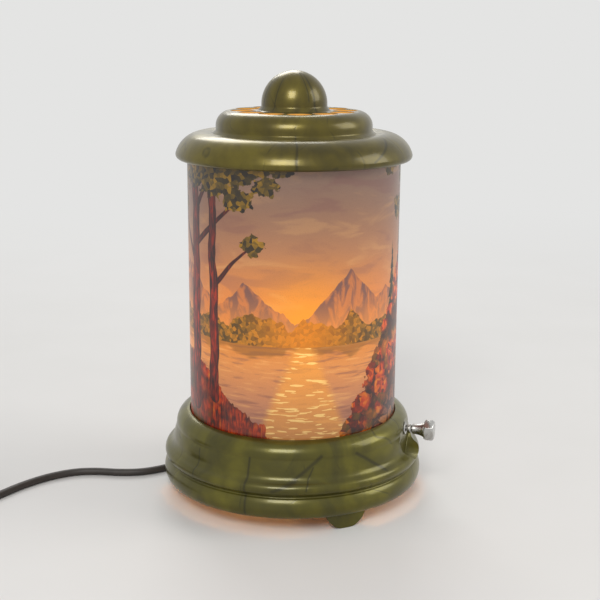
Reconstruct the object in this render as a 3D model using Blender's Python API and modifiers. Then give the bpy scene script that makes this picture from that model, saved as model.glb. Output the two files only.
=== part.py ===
"""Motion lamp: a heat-driven animated table lamp from about 1950, about 280 mm tall.

A moulded base on three tab feet carries a steel spider bracket with a turn-knob socket, a bulb
and a wire bail. A needle on the bail carries the rotor, a printed film cylinder under an
aluminium vane wheel, which the bulb's warm air turns. A printed sleeve stands in the base's
groove around it, and a vented, domed lid rests on the sleeve.

The origin is on the lamp's axis, on the surface that it stands on. One foot points along -Y.
"""

import math

import bmesh
import bpy
from mathutils import Matrix, Vector

mm = 0.001

# Driving dimensions
TOTAL_HEIGHT = 280.0 * mm
BASE_BOTTOM = 10.2 * mm
BASE_TOP = 56.4 * mm
LEDGE_Z = 50.0 * mm
SLEEVE_R = 69.0 * mm
SLEEVE_WALL = 0.8 * mm
SLEEVE_TOP = 231.0 * mm
DECK_TOP = 254.6 * mm
DOME_R = 21.2 * mm
FILM_R = 60.4 * mm
FILM_WALL = 0.6 * mm
FILM_BOTTOM = 76.0 * mm
WHEEL_Z = 222.0 * mm
SWITCH_Z = 46.5 * mm
CORD_R = 2.5 * mm
GAP = 0.3 * mm

# Directions round the axis, in degrees from +X
FOOT_ANGLES = (-90.0, 30.0, 150.0)
SWITCH_ANGLE = -39.0
ARM_ANGLES = (139.0, 259.0, 19.0)
BAIL_ANGLE = 46.0
LID_TURN = 10.6
CORD_HEADING = 155.0

# Facets
SLEEVE_ROUND = 56
ROUND = 40
MEDIUM = 20
SMALL_ROUND = 16
FINE = 8

LAMP = "motion_lamp"
CUTTERS = "cutters"


def start_scene():
    """Empties the scene and makes the two collections."""
    for old in list(bpy.data.objects):
        bpy.data.objects.remove(old)
    for name in (LAMP, CUTTERS):
        made = bpy.data.collections.new(name)
        bpy.context.scene.collection.children.link(made)
    bpy.data.collections[CUTTERS].hide_render = True


def finish_material(name, colour, roughness, metallic=0.0):
    """A plain Principled material, made once for each name."""
    found = bpy.data.materials.get(name)
    if found:
        return found
    made = bpy.data.materials.new(name)
    made.use_nodes = True
    shader = made.node_tree.nodes["Principled BSDF"]
    shader.inputs["Base Color"].default_value = (*colour, 1.0)
    shader.inputs["Roughness"].default_value = roughness
    shader.inputs["Metallic"].default_value = metallic
    made.diffuse_color = (*colour, 1.0)
    return made


def moulded_plastic():
    return finish_material("moulded_plastic", (0.16, 0.15, 0.035), 0.28)


def printed_acetate():
    return finish_material("printed_acetate", (0.80, 0.62, 0.42), 0.25)


def rotor_film():
    return finish_material("rotor_film", (0.85, 0.66, 0.30), 0.35)


def plated_steel():
    return finish_material("plated_steel", (0.62, 0.64, 0.66), 0.22, 1.0)


def brass():
    return finish_material("brass", (0.72, 0.52, 0.22), 0.30, 1.0)


def aluminium():
    return finish_material("aluminium", (0.78, 0.79, 0.80), 0.35, 1.0)


def bakelite():
    return finish_material("bakelite", (0.035, 0.022, 0.015), 0.35)


def fibre_board():
    return finish_material("fibre_board", (0.16, 0.10, 0.06), 0.80)


def bulb_glass_finish():
    return finish_material("frosted_glass", (0.95, 0.93, 0.88), 0.20)


def cord_rubber():
    return finish_material("cord_rubber", (0.045, 0.035, 0.030), 0.50)


def dress(obj, material):
    obj.data.materials.clear()
    obj.data.materials.append(material)
    return obj


def add_mesh(name, bm, material, place=None):
    """Makes an object from a bmesh, shaded smooth except at sharp edges.

    Without a material it is a cutter. The place is the object's own matrix.
    """
    data = bpy.data.meshes.new(name)
    bm.to_mesh(data)
    bm.free()
    data.shade_smooth()
    data.set_sharp_from_angle(angle=math.radians(35))
    return add_object(name, data, material, place)


def add_object(name, data, material, place=None):
    obj = bpy.data.objects.new(name, data)
    if place is not None:
        obj.matrix_world = place
    if material:
        bpy.data.collections[LAMP].objects.link(obj)
        return dress(obj, material)
    bpy.data.collections[CUTTERS].objects.link(obj)
    obj.hide_render = True
    obj.display_type = "WIRE"
    return obj


def outward(angle, along=0.0, height=0.0):
    """The matrix that turns local +Z to point outwards at an angle round the axis."""
    turn = Matrix.Rotation(math.radians(angle), 4, "Z")
    lay = Matrix.Rotation(math.radians(90.0), 4, "Y")
    return Matrix.Translation((0, 0, height)) @ turn @ lay @ Matrix.Translation((0, 0, along))


def polar(angle, radius, height=0.0):
    """A point at an angle and a radius round the lamp's axis."""
    a = math.radians(angle)
    return Vector((radius * math.cos(a), radius * math.sin(a), height))


def arc(start, end, sag, count):
    """Points of a circular arc from start to end, with start left out.

    A positive sag bows the arc to the left of the way from start to end.
    """
    (x0, z0), (x1, z1) = start, end
    chord = math.hypot(x1 - x0, z1 - z0)
    radius = (chord * chord / 4 + sag * sag) / (2 * abs(sag))
    half = math.asin(chord / (2 * radius))
    side = 1 if sag > 0 else -1
    along = ((x1 - x0) / chord, (z1 - z0) / chord)
    left = (-along[1] * side, along[0] * side)
    points = []
    for i in range(1, count + 1):
        a = -half + 2 * half * i / count
        forward = radius * math.sin(a)
        bow = radius * (math.cos(a) - math.cos(half))
        middle = ((x0 + x1) / 2, (z0 + z1) / 2)
        points.append(
            (
                middle[0] + along[0] * forward + left[0] * bow,
                middle[1] + along[1] * forward + left[1] * bow,
            )
        )
    return points


def turned(name, outline, material, steps=ROUND, ring=False, place=None):
    """A profile of (radius, height) points turned round Z by a Screw modifier.

    The outline runs down the outer side. A ring's outline closes on itself.
    """
    bm = bmesh.new()
    verts = [bm.verts.new((r, 0, z)) for r, z in outline]
    pairs = list(zip(verts, verts[1:]))
    if ring:
        pairs.append((verts[-1], verts[0]))
    for a, b in pairs:
        bm.edges.new((a, b))
    data = bpy.data.meshes.new(name)
    bm.to_mesh(data)
    bm.free()
    obj = add_object(name, data, material, place)
    screw = obj.modifiers.new("turn", "SCREW")
    screw.steps = steps
    screw.render_steps = steps
    screw.use_merge_vertices = True
    screw.merge_threshold = 0.00001
    screw.use_smooth_shade = True
    return obj


def rod(name, radius, low, high, material, steps=SMALL_ROUND, place=None):
    """A plain cylinder from low to high along local Z."""
    bm = bmesh.new()
    bmesh.ops.create_cone(
        bm,
        cap_ends=True,
        segments=steps,
        radius1=radius,
        radius2=radius,
        depth=high - low,
        matrix=Matrix.Translation((0, 0, (low + high) / 2)),
    )
    return add_mesh(name, bm, material, place)


def block(name, size, centre, material, place=None):
    """A box of a size about a centre."""
    bm = bmesh.new()
    bmesh.ops.create_cube(bm, size=1.0)
    bm.transform(Matrix.Translation(centre) @ Matrix.Diagonal((*size, 1.0)))
    return add_mesh(name, bm, material, place)


def boolean(obj, tool, operation):
    step = obj.modifiers.new(operation.lower(), "BOOLEAN")
    step.operation = operation
    step.solver = "EXACT"
    step.object = tool
    return obj


def cut(obj, tool):
    return boolean(obj, tool, "DIFFERENCE")


def settle(obj):
    """Replaces the object's mesh with its evaluated one, and drops its modifiers."""
    graph = bpy.context.evaluated_depsgraph_get()
    graph.update()
    data = bpy.data.meshes.new_from_object(obj.evaluated_get(graph))
    obj.modifiers.clear()
    obj.data = data
    return obj


def fuse(obj, *others):
    """Unites the objects into the first one and removes the rest."""
    for other in others:
        boolean(obj, other, "UNION")
    settle(obj)
    for other in others:
        bpy.data.objects.remove(other)
    obj.data.shade_smooth()
    obj.data.set_sharp_from_angle(angle=math.radians(35))
    return obj


def copies(first, places):
    """Repeats a piece at other places, on the same mesh, and numbers the names from 1."""
    settle(first)
    name = first.name
    first.name = f"{name}_1"
    first.matrix_world = places[0]
    for i, place in enumerate(places[1:], 2):
        add_object(f"{name}_{i}", first.data, first.data.materials[0], place)


def axis_empty(name, place):
    """An empty on a joint's axis, which carries the pieces that turn on it."""
    empty = bpy.data.objects.new(name, None)
    bpy.data.collections[LAMP].objects.link(empty)
    empty.matrix_world = place
    return empty


def carry(empty, pieces):
    """Parents the pieces to the empty and leaves them where they are."""
    bpy.context.view_layer.update()
    for piece in pieces:
        piece.parent = empty
        piece.matrix_parent_inverse = empty.matrix_world.inverted()


def tube(name, points, radius, material, resolution=2):
    """A round tube along the points, as a poly curve with filled caps."""
    curve = bpy.data.curves.new(name, "CURVE")
    curve.dimensions = "3D"
    curve.bevel_depth = radius
    curve.bevel_resolution = resolution
    curve.use_fill_caps = True
    spline = curve.splines.new("POLY")
    spline.points.add(len(points) - 1)
    for place, point in zip(spline.points, points):
        place.co = (*point, 1.0)
    return add_object(name, curve, material)


def smooth_path(points, spacing):
    """Points read at a steady spacing from a Catmull-Rom curve through the route's own points."""
    route = [Vector(p) for p in points]
    route = [2 * route[0] - route[1]] + route + [2 * route[-1] - route[-2]]
    fine = []
    per_span = 24
    for i in range(1, len(route) - 2):
        a, b, c, d = route[i - 1 : i + 3]
        for k in range(per_span):
            t = k / per_span
            fine.append(
                0.5
                * (
                    2 * b
                    + (c - a) * t
                    + (2 * a - 5 * b + 4 * c - d) * t * t
                    + (3 * b - a - 3 * c + d) * t * t * t
                )
            )
    fine.append(route[-2])
    length = sum((q - p).length for p, q in zip(fine, fine[1:]))
    count = max(2, round(length / spacing))
    step = length / count
    out, walked, want = [fine[0]], 0.0, step
    for p, q in zip(fine, fine[1:]):
        span = (q - p).length
        while span > 0 and walked + span >= want - 1e-9 and len(out) < count:
            out.append(p.lerp(q, (want - walked) / span))
            want += step
        walked += span
    out.append(fine[-1])
    return out


# Base: bell, bead, groove and skirt, with the sleeve's groove inside the lip

LIP_BORE_R = SLEEVE_R + 0.5 * mm
LEDGE_R = 66.6 * mm
LEDGE_UNDER = 47.2 * mm
SKIRT_INNER_R = 82.6 * mm
RECESS_R = 20.0 * mm
RECESS_FLOOR = 77.0 * mm
RECESS_WALL = 2.6 * mm
FOOT_R = 14.0 * mm
FOOT_FACE = 82.0 * mm
FOOT_THICK = 3.2 * mm
FOOT_CENTRE_Z = 13.2 * mm
BOSS_RADIUS_AT = 70.4 * mm
BOSS_R = 4.4 * mm
BOSS_BOTTOM = 25.5 * mm
PILOT_R = 1.5 * mm


def base_outline():
    lip = (70.6 * mm, BASE_TOP)
    shoulder = (78.5 * mm, 46.0 * mm)
    waist = (80.5 * mm, 38.2 * mm)
    bead_top = (84.3 * mm, 32.4 * mm)
    bead_low = (85.0 * mm, 25.4 * mm)
    skirt_top = (84.9 * mm, 22.9 * mm)
    skirt_low = (85.6 * mm, 10.9 * mm)
    outer = [lip]
    outer += arc(lip, shoulder, 2.6 * mm, 4)
    outer.append(waist)
    outer += arc(waist, bead_top, -1.0 * mm, 2)
    outer += arc(bead_top, bead_low, 1.9 * mm, 4)
    outer += [(83.9 * mm, 24.4 * mm), (83.9 * mm, 23.5 * mm), skirt_top]
    outer += arc(skirt_top, skirt_low, 1.9 * mm, 4)
    inner = [
        (84.9 * mm, BASE_BOTTOM),
        (SKIRT_INNER_R, BASE_BOTTOM),
        (SKIRT_INNER_R, 19.0 * mm),
        (81.2 * mm, 22.6 * mm),
        (81.2 * mm, 28.8 * mm),
        (77.2 * mm, 40.4 * mm),
        (73.8 * mm, LEDGE_UNDER),
        (LEDGE_R, LEDGE_UNDER),
        (LEDGE_R, LEDGE_Z),
        (LIP_BORE_R, LEDGE_Z),
        (LIP_BORE_R, BASE_TOP),
    ]
    return outer + inner


def make_base_shell():
    """The bell-shaped moulding with its feet, bosses and the flat recess round the switch stem."""
    shell = turned("base_shell", base_outline(), moulded_plastic(), ring=True)
    settle(shell)
    # the recess needs a thick plug inside the wall, before its cup is cut out of it
    backing = rod(
        "backing",
        RECESS_R + RECESS_WALL,
        RECESS_FLOOR - RECESS_WALL,
        RECESS_FLOOR + 11.0 * mm,
        moulded_plastic(),
        28,
        outward(SWITCH_ANGLE, 0, SWITCH_Z),
    )
    inside = turned(
        "inside_bell",
        [
            (73.0 * mm, 53.0 * mm),
            (76.0 * mm, 49.0 * mm),
            (79.0 * mm, 42.0 * mm),
            (82.6 * mm, 28.0 * mm),
            (82.6 * mm, 20.5 * mm),
            (60.0 * mm, 20.5 * mm),
            (60.0 * mm, 53.0 * mm),
        ],
        None,
        ring=True,
    )
    boolean(backing, inside, "INTERSECT")
    settle(backing)
    feet = []
    for i, angle in enumerate(FOOT_ANGLES):
        foot = rod(
            f"foot_{i}",
            FOOT_R,
            FOOT_FACE - FOOT_THICK,
            FOOT_FACE,
            moulded_plastic(),
            28,
            outward(angle, 0, FOOT_CENTRE_Z),
        )
        keep = block(
            f"foot_keep_{i}",
            (30 * mm, 40 * mm, 30 * mm),
            (78 * mm, 0, 15 * mm),
            None,
            Matrix.Rotation(math.radians(angle), 4, "Z"),
        )
        boolean(foot, keep, "INTERSECT")
        settle(foot)
        web = block(
            f"foot_web_{i}",
            (4.2 * mm, 20.0 * mm, 10.6 * mm),
            (81.1 * mm, 0, 16.7 * mm),
            moulded_plastic(),
            Matrix.Rotation(math.radians(angle), 4, "Z"),
        )
        feet += [foot, web]
    bosses = []
    for i, angle in enumerate(ARM_ANGLES):
        centre = polar(angle, BOSS_RADIUS_AT)
        bosses.append(
            rod(
                f"boss_{i}",
                BOSS_R,
                BOSS_BOTTOM,
                LEDGE_UNDER + 1.0 * mm,
                moulded_plastic(),
                12,
                Matrix.Translation(centre),
            )
        )
    fuse(shell, backing, *feet, *bosses)
    recess = rod(
        "recess_cutter",
        RECESS_R,
        RECESS_FLOOR,
        100 * mm,
        None,
        32,
        outward(SWITCH_ANGLE, 0, SWITCH_Z),
    )
    hole = rod(
        "stem_hole_cutter",
        EYELET_BARREL_R + GAP,
        60 * mm,
        100 * mm,
        None,
        SMALL_ROUND,
        outward(SWITCH_ANGLE, 0, SWITCH_Z),
    )
    cut(shell, recess)
    cut(shell, hole)
    for i, angle in enumerate(ARM_ANGLES):
        pilot = rod(
            f"pilot_cutter_{i}",
            PILOT_R + GAP,
            20 * mm,
            40 * mm,
            None,
            FINE,
            Matrix.Translation(polar(angle, BOSS_RADIUS_AT)),
        )
        cut(shell, pilot)
    return shell


# Spider bracket under the socket, with its screws and the cord's ear

BRACKET_LOW = 24.0 * mm
BRACKET_THICK = 1.2 * mm
BRACKET_TOP = BRACKET_LOW + BRACKET_THICK
SPIDER_R = 35.0 * mm
ARM_WIDTH = 13.0 * mm
BAIL_FOOT_R = 29.0 * mm
BAIL_WIRE_R = 1.2 * mm
NIPPLE_R = 4.8 * mm
NIPPLE_BORE_R = 3.1 * mm
EAR_AT = 44.0 * mm
EAR_TILT = 12.0
EAR_HOLE_Z = 12.0 * mm
RELIEF_NECK_R = 3.9 * mm


def ear_place(along=0.0):
    """Local +Z follows the cord's way out through the ear, sloping down and outwards."""
    turn = Matrix.Rotation(math.radians(ARM_ANGLES[0]), 4, "Z")
    tilt = Matrix.Rotation(math.radians(90.0 + EAR_TILT), 4, "Y")
    return turn @ Matrix.Translation((EAR_AT, 0, EAR_HOLE_Z)) @ tilt @ Matrix.Translation((0, 0, along))


def make_spider_bracket():
    """A stamped disc with three arms and one ear bent down to hold the cord."""
    disc = rod("spider_bracket", SPIDER_R, BRACKET_LOW, BRACKET_TOP, plated_steel(), 32)
    arms = []
    reach = BOSS_RADIUS_AT + 5.0 * mm
    for i, angle in enumerate(ARM_ANGLES):
        turn = Matrix.Rotation(math.radians(angle), 4, "Z")
        middle = ((SPIDER_R + reach) / 2 - 5 * mm, 0, (BRACKET_LOW + BRACKET_TOP) / 2)
        length = reach - SPIDER_R + 10 * mm
        arms.append(block(f"arm_{i}", (length, ARM_WIDTH, BRACKET_THICK), middle, plated_steel(), turn))
    ear = block(
        "ear",
        (20.5 * mm, ARM_WIDTH, BRACKET_THICK),
        (-4.2 * mm, 0, 0),
        plated_steel(),
        ear_place(),
    )
    fuse(disc, *arms, ear)
    holes = [(Vector((0, 0, 0)), NIPPLE_R + GAP)]
    holes += [(polar(a, BOSS_RADIUS_AT), SCREW_R + GAP) for a in ARM_ANGLES]
    holes += [(polar(BAIL_ANGLE + turn, BAIL_FOOT_R), BAIL_WIRE_R + GAP) for turn in (0, 180)]
    for i, (centre, radius) in enumerate(holes):
        cutter = rod(
            f"bracket_cutter_{i}",
            radius,
            20 * mm,
            30 * mm,
            None,
            SMALL_ROUND,
            Matrix.Translation(centre),
        )
        cut(disc, cutter)
    ear_cutter = rod(
        "ear_cutter", RELIEF_NECK_R + GAP, -5 * mm, 5 * mm, None, SMALL_ROUND, ear_place()
    )
    cut(disc, ear_cutter)
    return disc


SCREW_R = 1.4 * mm
SCREW_HEAD_R = 3.4 * mm


def make_bracket_screws():
    """Three round-headed screws up into the base's bosses."""
    head_low = BRACKET_LOW - GAP - 2.0 * mm
    outline = [
        (0, 36 * mm),
        (0.5 * mm, 36 * mm),
        (SCREW_R, 34.5 * mm),
        (SCREW_R, BRACKET_LOW - GAP),
        (SCREW_HEAD_R, BRACKET_LOW - GAP),
        (SCREW_HEAD_R, head_low + 0.9 * mm),
        (SCREW_HEAD_R * 0.7, head_low),
        (0, head_low),
    ]
    screw = turned("bracket_screw", outline, plated_steel(), FINE)
    copies(screw, [Matrix.Translation(polar(angle, BOSS_RADIUS_AT)) for angle in ARM_ANGLES])


def hex_nut(name, across, bore, low, high, steps):
    """A hexagon nut on local Z, given across its flats."""
    nut = rod(name, across / 2 / math.cos(math.pi / 6), low, high, plated_steel(), 6)
    return cut(nut, rod(f"{name}_cutter", bore, low - mm, high + mm, None, steps))


def make_nipple():
    """The threaded tube that joins the socket's cap to the bracket and lets the lead in."""
    outline = [
        (NIPPLE_R, 33 * mm),
        (NIPPLE_R, 18.4 * mm),
        (NIPPLE_R - 0.5 * mm, 17.9 * mm),
        (NIPPLE_BORE_R, 17.9 * mm),
        (NIPPLE_BORE_R, 33 * mm),
    ]
    return turned("socket_nipple", outline, brass(), SMALL_ROUND, ring=True)


def make_nipple_nut():
    low, high = 20.0 * mm, BRACKET_LOW - GAP
    return hex_nut("nipple_nut", 15.0 * mm, NIPPLE_R + GAP, low, high, SMALL_ROUND)


# Socket: cap, shell, liner, body with its switch, screw shell and contact

CAP_LOW = BRACKET_TOP + GAP
SHELL_R = 17.8 * mm
SHELL_LOW = 39.0 * mm
SHELL_TOP = 71.0 * mm
LINER_R = 16.9 * mm
BODY_R = 15.6 * mm
BODY_TOP = 57.0 * mm
SCREW_SHELL_R = 14.2 * mm
STEM_R = 1.6 * mm
CAM_R = 3.4 * mm


def switch_bore(name, radius, low):
    """A cutter along the switch stem, from low outwards."""
    return rod(
        name, radius, low, 30 * mm, None, SMALL_ROUND, outward(SWITCH_ANGLE, 0, SWITCH_Z)
    )


def make_socket_cap():
    """The cup-shaped lower cover of the socket."""
    wall = 0.7 * mm
    outline = [(SHELL_R - 1.0 * mm, 42.5 * mm), (SHELL_R - 1.0 * mm, 36.0 * mm)]
    outline += arc(outline[-1], (9.5 * mm, CAP_LOW + 0.8 * mm), 2.6 * mm, 3)
    outline += [(8.6 * mm, CAP_LOW), (NIPPLE_R + GAP, CAP_LOW), (NIPPLE_R + GAP, CAP_LOW + wall)]
    inner_foot = (8.4 * mm, CAP_LOW + wall)
    outline.append(inner_foot)
    outline += arc(inner_foot, (SHELL_R - 1.0 * mm - wall, 36.0 * mm), -2.6 * mm, 3)
    outline.append((SHELL_R - 1.0 * mm - wall, 42.5 * mm))
    return turned("socket_cap", outline, brass(), MEDIUM, ring=True)


def make_socket_shell():
    """The outer brass shell, with a slot for the switch stem and a rolled top edge."""
    wall = 0.6 * mm
    outline = [
        (SHELL_R, SHELL_TOP),
        (SHELL_R + 0.7 * mm, SHELL_TOP - 0.8 * mm),
        (SHELL_R, SHELL_TOP - 1.6 * mm),
        (SHELL_R, 50.0 * mm),
        (SHELL_R + 0.5 * mm, 49.0 * mm),
        (SHELL_R + 0.5 * mm, SHELL_LOW),
        (SHELL_R - wall + 0.5 * mm, SHELL_LOW),
        (SHELL_R - wall + 0.1 * mm, 49.4 * mm),
        (SHELL_R - wall, SHELL_TOP),
    ]
    shell = turned("socket_shell", outline, brass(), MEDIUM, ring=True)
    return cut(shell, switch_bore("shell_bore", STEM_R + 1.2 * mm, 8 * mm))


def make_socket_liner():
    """The fibre sleeve that insulates the shell."""
    low = 43.0 * mm
    outline = [
        (LINER_R, 70.0 * mm),
        (LINER_R, low),
        (LINER_R - 0.9 * mm, low),
        (LINER_R - 0.9 * mm, 70.0 * mm),
    ]
    liner = turned("socket_liner", outline, fibre_board(), MEDIUM, ring=True)
    return cut(liner, switch_bore("liner_bore", STEM_R + 1.0 * mm, 8 * mm))


def make_socket_body():
    """The bakelite body that carries the switch's cam in a side bore."""
    outline = [(0, BODY_TOP), (BODY_R - 0.6 * mm, BODY_TOP), (BODY_R, BODY_TOP - 0.6 * mm)]
    outline += [(BODY_R, 43.4 * mm), (BODY_R - 1.5 * mm, 41.0 * mm), (0, 41.0 * mm)]
    body = turned("socket_body", outline, bakelite(), MEDIUM)
    return cut(body, switch_bore("body_bore", CAM_R + 0.5 * mm, 3.0 * mm))


def make_terminal_screws():
    """Two brass screws under the body, where the lead's cores are clamped."""
    low, high = 38.6 * mm, 40.7 * mm
    outline = [(0, high), (2.6 * mm, high), (2.6 * mm, low + 0.6 * mm), (1.8 * mm, low), (0, low)]
    screw = turned("terminal_screw", outline, brass(), FINE)
    copies(screw, [Matrix.Translation(polar(BAIL_ANGLE, side * 9.0 * mm)) for side in (-1, 1)])


def make_screw_shell():
    """The threaded shell that takes the bulb's cap, with a rolled thread."""
    low, high, depth = BODY_TOP + GAP, 69.5 * mm, 0.35 * mm
    turns = 2
    outer, inner = [], []
    for i in range(turns * 2 + 1):
        z = high - (high - low) * i / (turns * 2)
        wave = depth if i % 2 else 0.0
        outer.append((SCREW_SHELL_R + wave, z))
        inner.append((SCREW_SHELL_R - 0.5 * mm + wave, z))
    return turned("screw_shell", outer + inner[::-1], brass(), MEDIUM, ring=True)


def make_centre_contact():
    """The sprung brass tongue under the bulb's tip."""
    low = BODY_TOP + GAP
    outline = [(0, 59.2 * mm), (2.2 * mm, 59.0 * mm), (3.6 * mm, 58.0 * mm), (3.6 * mm, low), (0, low)]
    return turned("centre_contact", outline, brass(), FINE)


# Bulb

BULB_CAP_LOW = 59.6 * mm
BULB_CAP_TOP = 84.0 * mm
BULB_NECK_R = 13.0 * mm
BULB_R = 24.0 * mm
BULB_TOP = 140.0 * mm


def make_bulb_cap():
    """The bulb's screw cap, solid, with its thread as four rounded ridges."""
    outline = [(0, BULB_CAP_TOP), (BULB_NECK_R, BULB_CAP_TOP), (BULB_NECK_R, 76.0 * mm)]
    ridges, low, high = 4, 64.0 * mm, 76.0 * mm
    for i in range(1, ridges * 2 + 1):
        z = high - (high - low) * i / (ridges * 2)
        outline.append((12.6 * mm + (0.0 if i % 2 else 0.4 * mm), z))
    outline += [(9.5 * mm, 61.6 * mm), (4.2 * mm, 60.6 * mm), (3.2 * mm, BULB_CAP_LOW), (0, BULB_CAP_LOW)]
    return turned("bulb_cap", outline, brass(), MEDIUM)


def bulb_curve(shrink):
    """The envelope's outer side from the crown down to the neck."""
    low = BULB_CAP_TOP + GAP
    centre = BULB_TOP - BULB_R
    points = []
    for i in range(1, 6):
        a = math.radians(90 - 20 * i)
        points.append(((BULB_R - shrink) * math.cos(a), centre + (BULB_R - shrink) * math.sin(a)))
    points.append((14.4 * mm - shrink, 93.0 * mm))
    points.append((BULB_NECK_R - 0.3 * mm - shrink, low))
    return [(0, BULB_TOP - shrink)] + points


def make_bulb_glass():
    """The glass envelope, open at its neck."""
    outline = bulb_curve(0.0) + bulb_curve(0.9 * mm)[::-1]
    return turned("bulb_glass", outline, bulb_glass_finish(), MEDIUM)


def make_bulb_stem():
    """The glass mount inside the bulb, flared at its foot."""
    low = BULB_CAP_TOP + GAP
    outline = [(0, 112 * mm), (2.0 * mm, 111.5 * mm), (2.4 * mm, 96 * mm)]
    outline += [(6.5 * mm, 88 * mm), (7.5 * mm, low), (0, low)]
    return turned("bulb_stem", outline, bulb_glass_finish(), FINE)


def make_filament():
    """The coiled filament drawn as one arched wire between two support wires."""
    rise = [(-9.0, 98.0), (-9.0, 108.0), (-8.6, 118.0)]
    crown = []
    for degrees in range(-60, 61, 30):
        a = math.radians(degrees)
        crown.append((8.6 * math.sin(a), 118.0 + 3.0 * math.cos(a)))
    route = rise + crown + [(-x, z) for x, z in rise[::-1]]
    start, end = (-3.4, 98.0), (3.4, 98.0)
    a = math.radians(BAIL_ANGLE + 90)
    points = [
        Vector((x * math.cos(a) * mm, x * math.sin(a) * mm, z * mm)) for x, z in [start] + route + [end]
    ]
    return tube("filament", points, 0.35 * mm, plated_steel(), 1)


# Bail, its nuts, the ferrule and the needle

BAIL_SPRING_Z = 185.0 * mm
BAIL_TOP = 208.0 * mm
FERRULE_R = 3.4 * mm
FERRULE_TOP = 214.0 * mm
NEEDLE_R = 1.0 * mm
NEEDLE_TIP = 227.0 * mm


def make_bail():
    """The wire hoop over the bulb, with its ends through the bracket."""
    side, crown = [], []
    for z in (19.0, 60.0, 100.0, 140.0, 170.0):
        side.append((BAIL_FOOT_R, z * mm))
    steps = 8
    for i in range(steps + 1):
        a = math.pi / 2 * i / steps
        crown.append((BAIL_FOOT_R * math.cos(a), BAIL_SPRING_Z + (BAIL_TOP - BAIL_SPRING_Z) * math.sin(a)))
    half = side + crown
    flat = half + [(-r, z) for r, z in half[-2::-1]]
    points = [polar(BAIL_ANGLE, r, z) for r, z in flat]
    return tube("bail_wire", points, BAIL_WIRE_R, plated_steel(), 1)


def make_bail_nuts():
    """A nut above and below the bracket on each end of the bail."""
    height = 2.3 * mm
    nut = hex_nut("bail_nut", 6.0 * mm, BAIL_WIRE_R + GAP, 0, height, FINE)
    levels = (BRACKET_TOP + GAP, BRACKET_LOW - GAP - height)
    places = [
        Matrix.Translation(polar(BAIL_ANGLE + turn, BAIL_FOOT_R, low))
        for turn in (0, 180)
        for low in levels
    ]
    copies(nut, places)


def make_pivot_ferrule():
    """The small brass collar crimped on the crown of the bail."""
    low = BAIL_TOP - 4.0 * mm
    outline = [
        (0, FERRULE_TOP),
        (2.2 * mm, FERRULE_TOP),
        (FERRULE_R, FERRULE_TOP - 1.2 * mm),
        (FERRULE_R, low + 0.6 * mm),
        (FERRULE_R - 0.6 * mm, low),
        (0, low),
    ]
    ferrule = turned("pivot_ferrule", outline, brass(), SMALL_ROUND)
    across = Matrix.Translation((0, 0, BAIL_TOP)) @ outward(BAIL_ANGLE)
    cut(ferrule, rod("bail_cutter", BAIL_WIRE_R + 0.4 * mm, -9 * mm, 9 * mm, None, FINE, across))
    return cut(
        ferrule,
        rod("needle_cutter", NEEDLE_R + GAP, BAIL_TOP + 3.0 * mm, 230 * mm, None, FINE, None),
    )


def make_needle():
    outline = [
        (0, NEEDLE_TIP),
        (0.15 * mm, NEEDLE_TIP - 0.1 * mm),
        (NEEDLE_R, NEEDLE_TIP - 4.5 * mm),
        (NEEDLE_R, BAIL_TOP + 3.0 * mm + GAP),
        (0, BAIL_TOP + 3.0 * mm + GAP),
    ]
    return turned("pivot_needle", outline, plated_steel(), FINE)


# Rotor: vane wheel, film, hoop, rivets and cup

HUB_R = 16.0 * mm
RIM_OUT_R = 59.4 * mm
RIM_IN_R = 52.0 * mm
FLANGE_LOW = 213.0 * mm
SHEET = 0.6 * mm
BLADES = 12
BLADE_PITCH = 27.0
RIVETS = 6
RIVET_Z = 217.5 * mm


def make_vane_wheel():
    """A sheet wheel of pitched blades between a hub and a flanged rim."""
    top = WHEEL_Z + SHEET
    hub = turned(
        "vane_wheel",
        [(HUB_R, top), (HUB_R, WHEEL_Z), (CUP_BARREL_R + GAP, WHEEL_Z), (CUP_BARREL_R + GAP, top)],
        aluminium(),
        28,
        ring=True,
    )
    settle(hub)
    rim = turned(
        "rim",
        [
            (RIM_OUT_R, top),
            (RIM_OUT_R, FLANGE_LOW),
            (RIM_OUT_R - SHEET, FLANGE_LOW),
            (RIM_OUT_R - SHEET, WHEEL_Z),
            (RIM_IN_R, WHEEL_Z),
            (RIM_IN_R, top),
        ],
        aluminium(),
        ROUND,
        ring=True,
    )
    settle(rim)
    blades = []
    inner, outer = HUB_R - 1.5 * mm, RIM_IN_R + 2.0 * mm
    for i in range(BLADES):
        bm = bmesh.new()
        bmesh.ops.create_cube(bm, size=1.0)
        for v in bm.verts:
            far = v.co.x > 0
            v.co.x = outer if far else inner
            v.co.y *= 15.0 * mm if far else 4.6 * mm
            v.co.z *= SHEET
        bm.transform(Matrix.Rotation(math.radians(BLADE_PITCH), 4, "X"))
        bm.transform(Matrix.Translation((0, 0, WHEEL_Z + SHEET / 2)))
        bm.transform(Matrix.Rotation(math.tau * i / BLADES, 4, "Z"))
        blades.append(add_mesh(f"blade_{i}", bm, aluminium()))
    fuse(hub, rim, *blades)
    for cutter in rivet_cutters("wheel"):
        cut(hub, cutter)
    return hub


def rivet_cutters(owner):
    """Cutters for the rivet holes through the rim's flange and the film."""
    return [
        rod(
            f"rivet_cutter_{owner}_{i}",
            1.3 * mm,
            50 * mm,
            70 * mm,
            None,
            6,
            outward(360 / RIVETS * i, 0, RIVET_Z),
        )
        for i in range(RIVETS)
    ]


def make_animation_film():
    """The printed film cylinder that hangs from the wheel's flange."""
    inner = FILM_R - FILM_WALL
    outline = [(FILM_R, WHEEL_Z), (FILM_R, FILM_BOTTOM), (inner, FILM_BOTTOM), (inner, WHEEL_Z)]
    film = turned("animation_film", outline, rotor_film(), ROUND, ring=True)
    for cutter in rivet_cutters("film"):
        cut(film, cutter)
    return film


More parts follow.
